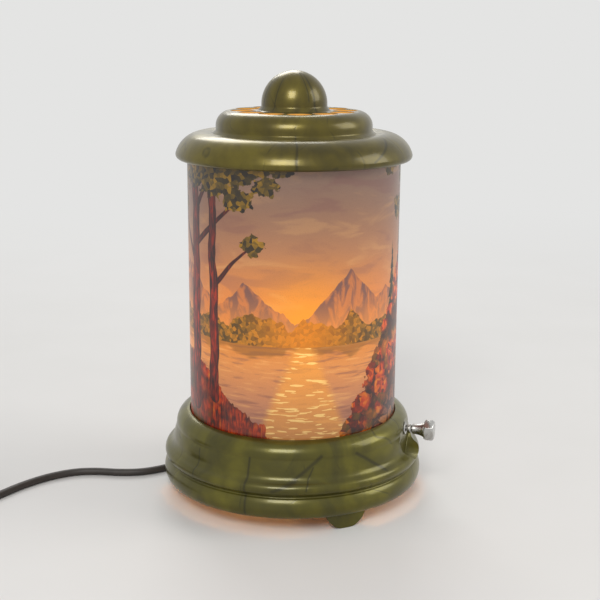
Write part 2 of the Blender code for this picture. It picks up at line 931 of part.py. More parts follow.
def make_film_rivets():
    """Rivets through the film and the flange, with a head on each side."""
    head = 2.1 * mm
    inside = (RIM_OUT_R - SHEET - 0.3 * mm) * math.cos(math.pi / ROUND)
    outside = FILM_R + 0.25 * mm
    outline = [
        (0, outside + 0.8 * mm),
        (head * 0.7, outside + 0.8 * mm),
        (head, outside),
        (1.0 * mm, outside),
        (1.0 * mm, inside),
        (head, inside),
        (head, inside - 0.6 * mm),
        (0, inside - 0.6 * mm),
    ]
    rivet = turned("film_rivet", outline, brass(), 8)
    copies(rivet, [outward(360 / RIVETS * i, 0, RIVET_Z) for i in range(RIVETS)])


def make_film_hoop():
    """The wire ring that keeps the film's lower end round."""
    wire = 0.7 * mm
    radius = (FILM_R - FILM_WALL) * math.cos(math.pi / ROUND) - wire - 0.2 * mm
    bm = bmesh.new()
    steps, sides = ROUND, 4
    rings = []
    for i in range(steps):
        a = math.tau * i / steps
        ring = []
        for k in range(sides):
            b = math.tau * k / sides
            r = radius + wire * math.cos(b)
            z = FILM_BOTTOM + 2.0 * mm + wire * math.sin(b)
            ring.append(bm.verts.new((r * math.cos(a), r * math.sin(a), z)))
        rings.append(ring)
    for i in range(steps):
        for k in range(sides):
            bm.faces.new(
                (
                    rings[i][k],
                    rings[(i + 1) % steps][k],
                    rings[(i + 1) % steps][(k + 1) % sides],
                    rings[i][(k + 1) % sides],
                )
            )
    return add_mesh("film_hoop", bm, plated_steel())


CUP_BARREL_R = 2.8 * mm


def make_pivot_cup():
    """The brass bearing cup that rests on the needle's tip, set in the wheel's hub."""
    seat = WHEEL_Z + SHEET + GAP
    outline = [
        (0, 231.0 * mm),
        (2.6 * mm, 230.6 * mm),
        (3.4 * mm, 229.0 * mm),
        (3.4 * mm, seat + 1.2 * mm),
        (6.4 * mm, seat + 1.0 * mm),
        (6.4 * mm, seat),
        (CUP_BARREL_R, seat),
        (CUP_BARREL_R, 219.0 * mm),
        (2.1 * mm, 219.0 * mm),
        (1.9 * mm, 224.0 * mm),
        (0, NEEDLE_TIP + GAP),
    ]
    return turned("pivot_cup", outline, brass(), SMALL_ROUND)


def make_rotor():
    """The turning assembly, parented to an empty at the needle's tip."""
    make_vane_wheel()
    make_animation_film()
    make_film_rivets()
    make_film_hoop()
    make_pivot_cup()
    names = ["vane_wheel", "animation_film", "film_hoop", "pivot_cup"]
    names += [f"film_rivet_{i + 1}" for i in range(RIVETS)]
    axis = axis_empty("rotor_axis", Matrix.Translation((0, 0, NEEDLE_TIP)))
    carry(axis, [bpy.data.objects[name] for name in names])


# Picture sleeve and its seam

SEAM_ANGLE = 90.0


def make_picture_sleeve():
    """The printed outer cylinder that stands on the base's ledge."""
    low, inner = LEDGE_Z + GAP, SLEEVE_R - SLEEVE_WALL
    outline = [(SLEEVE_R, SLEEVE_TOP), (SLEEVE_R, low), (inner, low), (inner, SLEEVE_TOP)]
    return turned("picture_sleeve", outline, printed_acetate(), SLEEVE_ROUND, ring=True)


def make_sleeve_seam():
    """The strip glued inside the sleeve along its joint."""
    span, steps = 10.0, 4
    outer = (SLEEVE_R - SLEEVE_WALL) * math.cos(math.pi / SLEEVE_ROUND) - GAP
    inner = outer - 0.5 * mm
    low, high = LEDGE_Z + 2 * mm, SLEEVE_TOP - 5 * mm
    section = ((inner, low), (outer, low), (outer, high), (inner, high))
    bm = bmesh.new()
    rows = []
    for i in range(steps + 1):
        a = SEAM_ANGLE + span * (i / steps - 0.5)
        rows.append([bm.verts.new(polar(a, r, z)) for r, z in section])
    for near, far in zip(rows, rows[1:]):
        for k in range(4):
            bm.faces.new((near[k], near[(k + 1) % 4], far[(k + 1) % 4], far[k]))
    bm.faces.new(rows[0][::-1])
    bm.faces.new(rows[-1])
    bmesh.ops.recalc_face_normals(bm, faces=bm.faces)
    return add_mesh("sleeve_seam", bm, printed_acetate())


# Lid: dome, vented deck, rounded tier and brim, in one moulding

VENTS = 12
VENT_R = 7.9 * mm
VENT_RING_R = 33.2 * mm
BRIM_LOW = 224.0 * mm
SEAT_Z = SLEEVE_TOP + GAP


def lid_outline():
    dome_z = TOTAL_HEIGHT - DOME_R
    wall = 2.4 * mm
    deck_edge = (41.6 * mm, DECK_TOP)
    tier_side = (50.5 * mm, 245.0 * mm)
    tier_foot = (50.5 * mm, 242.2 * mm)
    brim_start = (52.8 * mm, 240.0 * mm)
    brim_side = (76.3 * mm, 228.0 * mm)
    brim_under = (73.4 * mm, BRIM_LOW)
    outer = [(0, TOTAL_HEIGHT)]
    for i in range(1, 6):
        a = math.radians(90 - 18 * i)
        outer.append((DOME_R * math.cos(a), dome_z + DOME_R * math.sin(a)))
    outer.append((DOME_R, 257.4 * mm))
    outer.append((23.2 * mm, DECK_TOP))
    outer.append(deck_edge)
    outer += arc(deck_edge, tier_side, 2.6 * mm, 3)
    outer += [tier_foot, brim_start]
    outer += arc(brim_start, brim_side, 5.7 * mm, 4)
    outer += arc(brim_side, brim_under, 1.2 * mm, 2)
    inner = [
        (69.9 * mm, BRIM_LOW),
        (69.9 * mm, SEAT_Z),
        (67.7 * mm, SEAT_Z),
        (67.7 * mm, 227.6 * mm),
        (65.9 * mm, 227.6 * mm),
        (65.9 * mm, 235.8 * mm),
    ]
    inner += [(54.0 * mm, 237.6 * mm), (48.1 * mm, 239.9 * mm), (48.1 * mm, 245.0 * mm)]
    inner += [(46.2 * mm, 249.6 * mm), (41.0 * mm, DECK_TOP - wall)]
    inner.append((19.6 * mm, DECK_TOP - wall))
    hollow = DOME_R - wall
    for i in range(3):
        a = math.radians(30 * i)
        inner.append((hollow * math.cos(a), dome_z + hollow * math.sin(a)))
    inner.append((0, dome_z + hollow))
    return outer + inner


def make_lid():
    """The one-piece lid, with a ring of round vents through its deck."""
    lid = turned("lid", lid_outline(), moulded_plastic())
    for i in range(VENTS):
        centre = polar(LID_TURN + 360 / VENTS * i, VENT_RING_R)
        cutter = rod(
            f"vent_cutter_{i}",
            VENT_R,
            DECK_TOP - 8 * mm,
            DECK_TOP + 4 * mm,
            None,
            12,
            Matrix.Translation(centre),
        )
        cut(lid, cutter)
    return lid


# Switch: stem, cam, collar and knob, all along one outward axis

EYELET_BARREL_R = 3.2 * mm
KNOB_START = 82.6 * mm
KNOB_HEAD = 90.5 * mm
KNOB_END = 97.0 * mm
KNOB_ACROSS = 12.4 * mm


def make_stem_eyelet():
    """The plated eyelet that lines the stem's hole in the base."""
    inner = STEM_R + 0.35 * mm
    face = RECESS_FLOOR + GAP
    outline = [
        (4.2 * mm, face + 0.8 * mm),
        (4.5 * mm, face),
        (EYELET_BARREL_R, face),
        (EYELET_BARREL_R, RECESS_FLOOR - RECESS_WALL - 1.0 * mm),
        (inner, RECESS_FLOOR - RECESS_WALL - 1.0 * mm),
        (inner, face + 1.1 * mm),
        (3.4 * mm, face + 1.1 * mm),
    ]
    place = outward(SWITCH_ANGLE, 0, SWITCH_Z)
    return turned("stem_eyelet", outline, plated_steel(), SMALL_ROUND, ring=True, place=place)


def make_switch_stem():
    """The long turning rod from the socket's cam to the knob."""
    outline = [
        (0, KNOB_HEAD - 1.0 * mm),
        (STEM_R, KNOB_HEAD - 1.0 * mm),
        (STEM_R, 9.8 * mm),
        (0, 9.8 * mm),
    ]
    return turned("switch_stem", outline, plated_steel(), FINE, place=outward(SWITCH_ANGLE, 0, SWITCH_Z))


def make_switch_cam():
    """The lobed cam inside the socket's body, at the stem's inner end."""
    place = outward(SWITCH_ANGLE, 0, SWITCH_Z)
    return rod("switch_cam", CAM_R, 4.2 * mm, 9.5 * mm, bakelite(), 6, place)


def make_stem_collar():
    """The small ball collar on the stem just outside the base."""
    inner = STEM_R + 0.12 * mm
    low, high, rim = 78.7 * mm, 82.2 * mm, 2.2 * mm
    outline = [(inner, high), (rim, high)]
    outline += arc(outline[-1], (rim, low), 0.6 * mm, 4)
    outline.append((inner, low))
    place = outward(SWITCH_ANGLE, 0, SWITCH_Z)
    return turned("stem_collar", outline, plated_steel(), SMALL_ROUND, ring=True, place=place)


def make_switch_knob():
    """The knob: a waisted sleeve that flares into a hexagon head."""
    place = outward(SWITCH_ANGLE, 0, SWITCH_Z)
    flare = [(4.9 * mm, KNOB_HEAD + 1.0 * mm), (4.9 * mm, KNOB_HEAD - 0.3 * mm)]
    flare += arc(flare[-1], (3.4 * mm, KNOB_START + 0.4 * mm), -0.5 * mm, 4)
    flare += [(3.0 * mm, KNOB_START), (0, KNOB_START)]
    flare.insert(0, (0, KNOB_HEAD + 1.0 * mm))
    knob = turned("switch_knob", flare, plated_steel(), SMALL_ROUND, place=place)
    corner = KNOB_ACROSS / 2 / math.cos(math.pi / 6)
    bm = bmesh.new()
    bmesh.ops.create_cone(
        bm,
        cap_ends=True,
        segments=6,
        radius1=corner,
        radius2=corner,
        depth=KNOB_END - KNOB_HEAD,
        matrix=Matrix.Translation((0, 0, (KNOB_END + KNOB_HEAD) / 2)),
    )
    rims = [e for e in bm.edges if abs(e.verts[0].co.z - e.verts[1].co.z) < 1e-6]
    bmesh.ops.bevel(bm, geom=rims, offset=0.9 * mm, segments=1, affect="EDGES")
    fuse(knob, add_mesh("knob_head", bm, plated_steel(), place))
    bore = rod("knob_bore", STEM_R + 0.12 * mm, 80 * mm, KNOB_HEAD - 0.7 * mm, None, FINE, place)
    return cut(knob, bore)


def make_switch():
    """The turning parts of the switch, parented to an empty on their axis."""
    turning = [make_switch_stem(), make_switch_cam(), make_stem_collar(), make_switch_knob()]
    carry(axis_empty("switch_axis", outward(SWITCH_ANGLE, 0, SWITCH_Z)), turning)


# Cord: the lead inside, the strain relief, the free run, the coil and the plug

RELIEF_TAIL = 24.0 * mm
RELIEF_END_R = 3.1 * mm
COIL_PITCH = 5.45 * mm
COIL_IN_R = 19.0 * mm
COIL_TURNS = 8.25
LOOP_POINTS = 24
COIL_CENTRE = (247.0 * mm, -30.0 * mm)
PLUG_LENGTH = 25.0 * mm
PLUG_SIZE = (24.0 * mm, 14.4 * mm)


def beside(left, back, height):
    """A point given by how far it lies along the cord's heading and to the back of it."""
    a = math.radians(CORD_HEADING)
    x = left * math.cos(a) + back * math.sin(a)
    y = left * math.sin(a) - back * math.cos(a)
    return Vector((x, y, height))


def make_strain_relief():
    """The rubber grommet in the bracket's ear, with its long tapered tail."""
    half = BRACKET_THICK / 2 + GAP
    outline = [(0, RELIEF_TAIL + half + 2.4 * mm)]
    outline += [(RELIEF_END_R, RELIEF_TAIL + half + 2.4 * mm), (4.4 * mm, half + 2.4 * mm)]
    outline += [(5.6 * mm, half + 1.8 * mm), (5.6 * mm, half), (RELIEF_NECK_R, half)]
    outline += [(RELIEF_NECK_R, -half), (5.6 * mm, -half)]
    outline += [(5.6 * mm, -half - 1.8 * mm), (0, -half - 1.8 * mm)]
    return turned("strain_relief", outline, cord_rubber(), SMALL_ROUND, place=ear_place())


def relief_exit():
    """Where the free cord starts, and its direction there."""
    tip = RELIEF_TAIL + BRACKET_THICK / 2 + GAP + 2.4 * mm + GAP
    place = ear_place()
    return place @ Vector((0, 0, tip)), (place.to_3x3() @ Vector((0, 0, 1))).normalized()


def make_inner_lead():
    """The lead inside the base, from the socket's nipple to the strain relief."""
    place = ear_place()
    start = place @ Vector((0, 0, -BRACKET_THICK / 2 - GAP - 1.8 * mm - GAP))
    way = (place.to_3x3() @ Vector((0, 0, 1))).normalized()
    turn = ARM_ANGLES[0]
    route = [start, start - way * 6 * mm, start - way * 16 * mm]
    route += [polar(turn, 9.0 * mm, 12.0 * mm), polar(turn, 2.6 * mm, 13.6 * mm)]
    route += [polar(turn, 0.2 * mm, 17.5 * mm), Vector((0, 0, 22 * mm)), Vector((0, 0, 31 * mm))]
    return tube("inner_lead", smooth_path(route, 5.0 * mm), 2.4 * mm, cord_rubber(), 2)


def coil_points():
    """The coil's centreline: inwards on the lower layer, outwards on the upper one."""
    middle = COIL_TURNS / 2
    climb = 0.25
    count = round(COIL_TURNS * LOOP_POINTS)
    points = []
    for i in range(count + 1):
        turns = i * COIL_TURNS / count
        radius = COIL_IN_R + COIL_PITCH * abs(turns - middle)
        rise = min(1.0, max(0.0, (turns - middle + climb) / (2 * climb)))
        ease = rise * rise * (3 - 2 * rise)
        a = math.tau * turns - math.pi / 2
        points.append(
            beside(
                COIL_CENTRE[0] + radius * math.cos(a),
                COIL_CENTRE[1] + radius * math.sin(a),
                CORD_R + COIL_PITCH * ease,
            )
        )
    return points


def coil_with_ends():
    """The coil's centreline with a straight end, one cord diameter long, at each end."""
    points = coil_points()
    first = (points[0] - points[1]).normalized() * 2 * CORD_R
    last = (points[-1] - points[-2]).normalized() * 2 * CORD_R
    return [points[0] + first] + points + [points[-1] + last]


def coil_gap():
    """The least gap between two stretches of the coil that aren't next to each other."""
    points = coil_points()
    least = 1.0
    for i, p in enumerate(points):
        for q in points[i + LOOP_POINTS // 2 :]:
            least = min(least, (p - q).length)
    return least - 2 * CORD_R


def run_route():
    """The free cord from the strain relief to the coil, chosen by hand and lying on the surface."""
    start, way = relief_exit()
    points = coil_with_ends()
    away = (points[0] - points[1]).normalized()
    end = points[0] + away * GAP
    laid = [
        (79.0, 22.4, 4.0),
        (87.0, 19.8, 2.6),
        (97.0, 13.6, 2.5),
        (108.0, 9.4, 2.5),
        (122.0, 8.6, 2.5),
        (138.0, 10.2, 2.5),
        (153.0, 8.0, 2.5),
        (168.0, -0.6, 2.5),
        (181.0, -13.4, 2.5),
        (192.0, -28.6, 2.5),
        (202.0, -44.4, 2.5),
        (213.0, -58.2, 2.5),
        (226.0, -67.4, 2.5),
    ]
    route = [start, start + way * 4 * mm]
    route += [beside(left * mm, back * mm, max(CORD_R, height * mm)) for left, back, height in laid]
    return route + [end + away * 14 * mm, end + away * 7 * mm, end]


def tail_route():
    """The short end of the cord from the coil's upper layer to the plug."""
    points = coil_with_ends()
    way = (points[-1] - points[-2]).normalized()
    start = points[-1] + way * GAP
    plug = plug_place()
    end = plug @ Vector((0, 0, -GAP))
    inward = (plug.to_3x3() @ Vector((0, 0, 1))).normalized()
    return [start, start + way * 5 * mm, start + way * 10 * mm, end - inward * 8 * mm, end]


def plug_place():
    """Local +Z runs from the plug's cord end to its blades. Local X is across, Y is up."""
    points = coil_with_ends()
    way = (points[-1] - points[-2]).normalized()
    back = points[-1] + way * 32 * mm
    back.z = PLUG_SIZE[1] / 2
    flat = Vector((way.x, way.y, 0)).normalized()
    across = Vector((flat.y, -flat.x, 0))
    turn = Matrix((across, Vector((0, 0, 1)), flat)).transposed()
    turn.col[0] = across if turn.determinant() > 0 else -across
    return Matrix.Translation(back) @ turn.to_4x4()


def make_plug_body():
    """A two-pole plug with an oval body, rounded by a bevel, and a tapered neck."""
    outline = [(0, PLUG_LENGTH), (0.86, PLUG_LENGTH), (1.0, PLUG_LENGTH - 1.6 * mm), (1.0, 10 * mm)]
    outline += [(0.93, 6.5 * mm), (0.62, 3.0 * mm), (0.48, 0.6 * mm), (0.44, 0), (0, 0)]
    half_width = PLUG_SIZE[0] / 2
    profile = [(r * half_width, z) for r, z in outline]
    body = settle(turned("plug_body", profile, bakelite(), SMALL_ROUND))
    body.data.transform(Matrix.Diagonal((1.0, PLUG_SIZE[1] / PLUG_SIZE[0], 1.0, 1.0)))
    body.matrix_world = plug_place()
    return body


def make_plug_blades():
    """The plug's two flat blades, 12.7 mm apart."""
    blade = block(
        "plug_blade", (1.5 * mm, 6.3 * mm, 17.0 * mm), (0, 0, 8.5 * mm), brass()
    )
    start = plug_place() @ Matrix.Translation((0, 0, PLUG_LENGTH + GAP))
    copies(blade, [start @ Matrix.Translation((side * 6.35 * mm, 0, 0)) for side in (-1, 1)])


def make_cord():
    tube("cord_run", smooth_path(run_route(), 7.0 * mm), CORD_R, cord_rubber(), 2)
    tube("cord_coil", coil_with_ends(), CORD_R, cord_rubber(), 1)
    tube("cord_tail", smooth_path(tail_route(), 6.0 * mm), CORD_R, cord_rubber(), 2)
    print(f"least gap of the coil to itself: {coil_gap() * 1000:.2f} mm")
    whole = [
        sum((q - p).length for p, q in zip(path, path[1:]))
        for path in (smooth_path(run_route(), mm), coil_with_ends(), smooth_path(tail_route(), mm))
    ]
    print(f"length of the free cord: {sum(whole):.3f} m")


def make_lamp():
    start_scene()
    make_base_shell()
    make_spider_bracket()
    make_bracket_screws()
    make_nipple()
    make_nipple_nut()
    make_socket_cap()
    make_socket_shell()
    make_socket_liner()
    make_socket_body()
    make_terminal_screws()
    make_screw_shell()
    make_centre_contact()
    make_bulb_cap()
    make_bulb_glass()
    make_bulb_stem()
    make_filament()
    make_bail()
    make_bail_nuts()
    make_pivot_ferrule()
    make_needle()
    make_rotor()
    make_picture_sleeve()
    make_sleeve_seam()
    make_lid()
    make_stem_eyelet()
    make_switch()
    make_strain_relief()
    make_inner_lead()
    make_cord()
    make_plug_body()
    make_plug_blades()


make_lamp()
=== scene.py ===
"""Looks of a motion lamp: its pearly mouldings, printed sleeve, rotor, socket, switch and cord.

Sizes are in millimetres and degrees, and colours are screen values from 0 to 255. Meshes are made
in metres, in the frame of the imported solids: the lamp's axis is Z, and it stands on the plane z = 0.
"""
import logging
import math
from dataclasses import dataclass
from enum import Enum
from typing import Callable, Sequence, Union

import bmesh
import bpy
from mathutils import Matrix, Quaternion, Vector


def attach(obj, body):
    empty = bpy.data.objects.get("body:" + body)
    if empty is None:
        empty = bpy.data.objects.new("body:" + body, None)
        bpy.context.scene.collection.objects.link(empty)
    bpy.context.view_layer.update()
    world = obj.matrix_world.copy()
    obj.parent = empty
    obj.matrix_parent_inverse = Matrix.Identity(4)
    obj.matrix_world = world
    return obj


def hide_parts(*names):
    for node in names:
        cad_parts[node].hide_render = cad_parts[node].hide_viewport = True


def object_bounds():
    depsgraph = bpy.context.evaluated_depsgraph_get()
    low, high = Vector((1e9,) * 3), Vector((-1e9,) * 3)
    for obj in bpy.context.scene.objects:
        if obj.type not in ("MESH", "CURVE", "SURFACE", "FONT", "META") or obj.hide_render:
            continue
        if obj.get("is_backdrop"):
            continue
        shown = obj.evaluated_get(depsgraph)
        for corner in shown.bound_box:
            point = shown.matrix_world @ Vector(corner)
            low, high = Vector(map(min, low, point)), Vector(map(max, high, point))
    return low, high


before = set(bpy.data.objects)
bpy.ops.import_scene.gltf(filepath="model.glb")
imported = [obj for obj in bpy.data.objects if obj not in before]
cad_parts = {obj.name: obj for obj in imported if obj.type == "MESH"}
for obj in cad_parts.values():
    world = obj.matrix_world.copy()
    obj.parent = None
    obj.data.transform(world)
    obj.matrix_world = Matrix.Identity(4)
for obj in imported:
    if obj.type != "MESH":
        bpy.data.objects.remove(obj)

LOG = logging.getLogger("motion_lamp")
MM = 0.001
SHARP = 34.0  # edges that turn more than this many degrees stay sharp
FRONT = -115.0  # the direction round the axis that faces the camera
SWITCH_ANGLE, SWITCH_HEIGHT = -39.0, 46.5  # where the switch's stem points, and how high
STEM_RADIUS, STEM_PLAY = 1.6, 0.12  # the switch's stem, and the room round it in the knob
SEAT, SEAT_WALL = 77.0, 2.6  # the base's flat round the stem, as far out along it, and its wall
BOSS_RING, BOSS_START = 70.4, 19.0  # the ring of the bracket's screws, and where it starts
BRACKET_THICK, EAR_ANGLE = 1.2, 139.0  # the bracket's sheet, and where its ear holds the cord
VENTS, VENT_RING, VENT_START = 12, 33.2, 10.6  # the lid's vents, their ring and where it starts
BRIGHTEST = 122.0  # the height at which the bulb lights most
INVERSE_E = 0.3679  # 1 / e, for soft hills
MM_PER_DEGREE = 1.204  # along the sleeve's face

Point = tuple[float, float]
Outline = list[Point]
Shade = tuple[float, float, float]
Mesh = bmesh.types.BMesh
Piece = bpy.types.Object
Finish = bpy.types.Material
Tree = bpy.types.NodeTree
Node = bpy.types.Node
Number = Union["Field", float]


# Shapes


def arc(start: Point, end: Point, sag: float, count: int) -> Outline:
    """Points of a circular arc, with the start left out.

    Args:
        start: First end of the arc.
        end: Last point of the arc.
        sag: Height of the bow, to the left of the way from start to end when positive.
        count: Number of steps.

    Returns:
        The points after the start.
    """
    (x0, z0), (x1, z1) = start, end
    chord = math.hypot(x1 - x0, z1 - z0)
    radius = (chord * chord / 4 + sag * sag) / (2 * abs(sag))
    half = math.asin(min(1.0, chord / (2 * radius)))
    side = 1 if sag > 0 else -1
    ahead = ((x1 - x0) / chord, (z1 - z0) / chord)
    left = (-ahead[1] * side, ahead[0] * side)
    points = []
    for i in range(1, count + 1):
        a = -half + 2 * half * i / count
        forward, bow = radius * math.sin(a), radius * (math.cos(a) - math.cos(half))
        x = (x0 + x1) / 2 + ahead[0] * forward + left[0] * bow
        points.append((x, (z0 + z1) / 2 + ahead[1] * forward + left[1] * bow))
    return points


def is_ring(outline: Sequence[Point]) -> bool:
    """Whether a section starts off the axis, and so closes on itself."""
    return outline[0][0] > 0


def eased(outline: Outline, radius: float, count: int = 3) -> Outline:
    """An outline with its corners rounded off.

    Args:
        outline: Corner points, in order.
        radius: How far from each corner the rounding starts, at most.
        count: Steps of each rounding.

    Returns:
        The outline with a short curve at each corner sharper than 20 degrees.
    """
    made: Outline = []
    size, ring = len(outline), is_ring(outline)
    for i, point in enumerate(outline):
        here = Vector(point)
        if not ring and i in (0, size - 1):
            made.append(point)
            continue
        before = Vector(outline[i - 1]) - here
        after = Vector(outline[(i + 1) % size]) - here
        if before.length < 1e-6 or after.length < 1e-6:
            continue
        if math.pi - before.angle(after) < math.radians(20):
            made.append(point)
            continue
        reach = min(radius, before.length * 0.45, after.length * 0.45)
        first, last = here + before.normalized() * reach, here + after.normalized() * reach
        for k in range(count + 1):
            t = k / count
            spot = (1 - t) ** 2 * first + 2 * t * (1 - t) * here + t * t * last
            made.append((spot.x, spot.y))
    return made


def pipe(outer: float, inner: float, low: float, high: float) -> Outline:
    """The ring section of a plain tube."""
    return [(outer, high), (outer, low), (inner, low), (inner, high)]


def polar(angle: float, radius: float, height: float = 0.0) -> Vector:
    """A point at an angle and a radius round the lamp's axis."""
    a = math.radians(angle)
    return Vector((radius * math.cos(a), radius * math.sin(a), height))


def stand(angle: float, radius: float, height: float = 0.0) -> Matrix:
    """The matrix that moves local Z to such a point, upright."""
    return Matrix.Translation(polar(angle, radius, height))


def outward(angle: float, height: float) -> Matrix:
    """The matrix that turns local +Z to point outwards at an angle."""
    turn = Matrix.Rotation(math.radians(angle), 4, "Z")
    return Matrix.Translation((0, 0, height)) @ turn @ Matrix.Rotation(math.radians(90), 4, "Y")


def circle(radius: float, count: int, centre: Point = (0.0, 0.0)) -> list[Point]:
    """Points of a circle, anticlockwise."""
    turns = (math.tau * k / count for k in range(count))
    return [(centre[0] + radius * math.cos(a), centre[1] + radius * math.sin(a)) for a in turns]


def add_piece(name: str, bm: Mesh, material: Finish) -> Piece:
    """Makes an object at the origin from a bmesh in millimetres.

    Args:
        name: The piece's name.
        bm: Its mesh, which is freed.
        material: Its finish.

    Returns:
        The new object.
    """
    bm.transform(Matrix.Diagonal((MM, MM, MM, 1.0)))
    data = bpy.data.meshes.new(name)
    bm.to_mesh(data)
    bm.free()
    data.materials.append(material)
    smooth(data)
    obj = bpy.data.objects.new(name, data)
    bpy.context.scene.collection.objects.link(obj)
    return obj


def smooth(data: bpy.types.Mesh) -> None:
    """Shades a mesh smooth but for its sharp edges."""
    data.shade_smooth()
    data.set_sharp_from_angle(angle=math.radians(SHARP))


def spun(outline: Sequence[Point], steps: int, place: Matrix | None = None) -> Mesh:
    """A profile turned round local Z.

    Args:
        outline: (radius, height) points that run down the outer side.
        steps: Facets round the axis.
        place: Where the turned shape goes.

    Returns:
        A closed bmesh with its faces outwards.
    """
    bm = bmesh.new()
    rows = []
    for radius, height in outline:
        if radius < 1e-6:
            rows.append([bm.verts.new((0, 0, height))])
        else:
            rows.append([bm.verts.new((x, y, height)) for x, y in circle(radius, steps)])
    for upper, lower in zip(rows, rows[1:] + rows[:1] if is_ring(outline) else rows[1:]):
        for k in range(steps):
            n = (k + 1) % steps
            if len(upper) == 1:
                bm.faces.new((upper[0], lower[k], lower[n]))
            elif len(lower) == 1:
                bm.faces.new((upper[k], lower[0], upper[n]))
            else:
                bm.faces.new((upper[k], lower[k], lower[n], upper[n]))
    if place is not None:
        bm.transform(place)
    return bm


def rod(
    radius: float, low: float, high: float, steps: int = 32, place: Matrix | None = None, ease: float = 0.0
) -> Mesh:
    """A cylinder along a place's local Z, with its edges eased if wanted."""
    outline = [(0.0, high), (radius, high), (radius, low), (0.0, low)]
    return spun(eased(outline, ease, 4) if ease else outline, steps, place)


def plate(corners: Sequence[Point], low: float, high: float, place: Matrix | None = None) -> Mesh:
    """A flat plate.

    Args:
        corners: Its corners, anticlockwise.
        low: Height of its under side.
        high: Height of its upper side.
        place: Where it goes.

    Returns:
        A closed bmesh.
    """
    bm = bmesh.new()
    under, over = ([bm.verts.new((x, y, z)) for x, y in corners] for z in (low, high))
    bm.faces.new(under[::-1])
    bm.faces.new(over)
    for k in range(len(corners)):
        n = (k + 1) % len(corners)
        bm.faces.new((under[k], under[n], over[n], over[k]))
    if place is not None:
        bm.transform(place)
    return bm


def slab(
    x0: float, x1: float, half: float, low: float, high: float, place: Matrix | None = None
) -> Mesh:
    """A block from one x to another, as wide on both sides of the x axis."""
    return plate([(x0, -half), (x1, -half), (x1, half), (x0, half)], low, high, place)


def bevelled(bm: Mesh, width: float) -> Mesh:
    """The bmesh with a narrow bevel along its edges that turn more than 30 degrees."""
    keen = [e for e in bm.edges if len(e.link_faces) == 2 and e.calc_face_angle() > math.radians(30)]
    bmesh.ops.bevel(bm, geom=keen, offset=width, segments=2, profile=0.5, affect="EDGES")
    return bm


def skinned(sections: Sequence[Sequence[Vector]], closed: bool = False) -> Mesh:
    """A skin over a row of sections.

    Args:
        sections: The corners of each section, as many in each.
        closed: Whether the last section joins the first; else both ends are covered.

    Returns:
        A closed bmesh.
    """
    bm = bmesh.new()
    rings = [[bm.verts.new(point) for point in section] for section in sections]
    for near, far in zip(rings, rings[1:] + rings[:1] if closed else rings[1:]):
        for k in range(len(near)):
            n = (k + 1) % len(near)
            bm.faces.new((near[k], near[n], far[n], far[k]))
    if not closed:
        bm.faces.new(rings[0][::-1])
        bm.faces.new(rings[-1])
    bmesh.ops.recalc_face_normals(bm, faces=bm.faces)
    return bm


def tube(path: Sequence[Vector], radius: float, sides: int, closed: bool = False) -> Mesh:
    """A round tube along a path.

    Args:
        path: Points of its centreline.
        radius: Its radius.
        sides: Facets round it.
        closed: Whether the path closes on itself.

    Returns:
        A closed bmesh.
    """
    count, rings, normal = len(path), [], None
    for i, point in enumerate(path):
        if closed:
            ahead = (path[(i + 1) % count] - path[i - 1]).normalized()
        else:
            ahead = (path[min(i + 1, count - 1)] - path[max(i - 1, 0)]).normalized()
        if normal is None:
            normal = ahead.orthogonal().normalized()
        normal = (normal - ahead * normal.dot(ahead)).normalized()
        across = ahead.cross(normal)
        turns = (math.tau * k / sides for k in range(sides))
        rings.append([point + (normal * math.cos(a) + across * math.sin(a)) * radius for a in turns])
    return skinned(rings, closed)


def settle(obj: Piece) -> Piece:
    """Makes an object's modifiers part of its mesh."""
    graph = bpy.context.evaluated_depsgraph_get()
    graph.update()
    data = bpy.data.meshes.new_from_object(obj.evaluated_get(graph))
    obj.modifiers.clear()
    obj.data = data
    smooth(data)
    return obj


def combine(obj: Piece, operation: str, *tools: Piece | Mesh) -> Piece:
    """Cuts or joins other closed shapes into an object and removes them.

    Args:
        obj: The object to change.
        operation: DIFFERENCE, UNION or INTERSECT.
        tools: The objects, or bmeshes in millimetres, to cut with or to join.

    Returns:
        The changed object.
    """
    finish = obj.data.materials[0]
    shapes = [t if isinstance(t, Piece) else add_piece("tool", t, finish) for t in tools]
    for shape in shapes:
        step = obj.modifiers.new("combine", "BOOLEAN")
        step.operation, step.solver, step.object = operation, "EXACT", shape
    settle(obj)
    for shape in shapes:
        bpy.data.objects.remove(shape)
    return obj


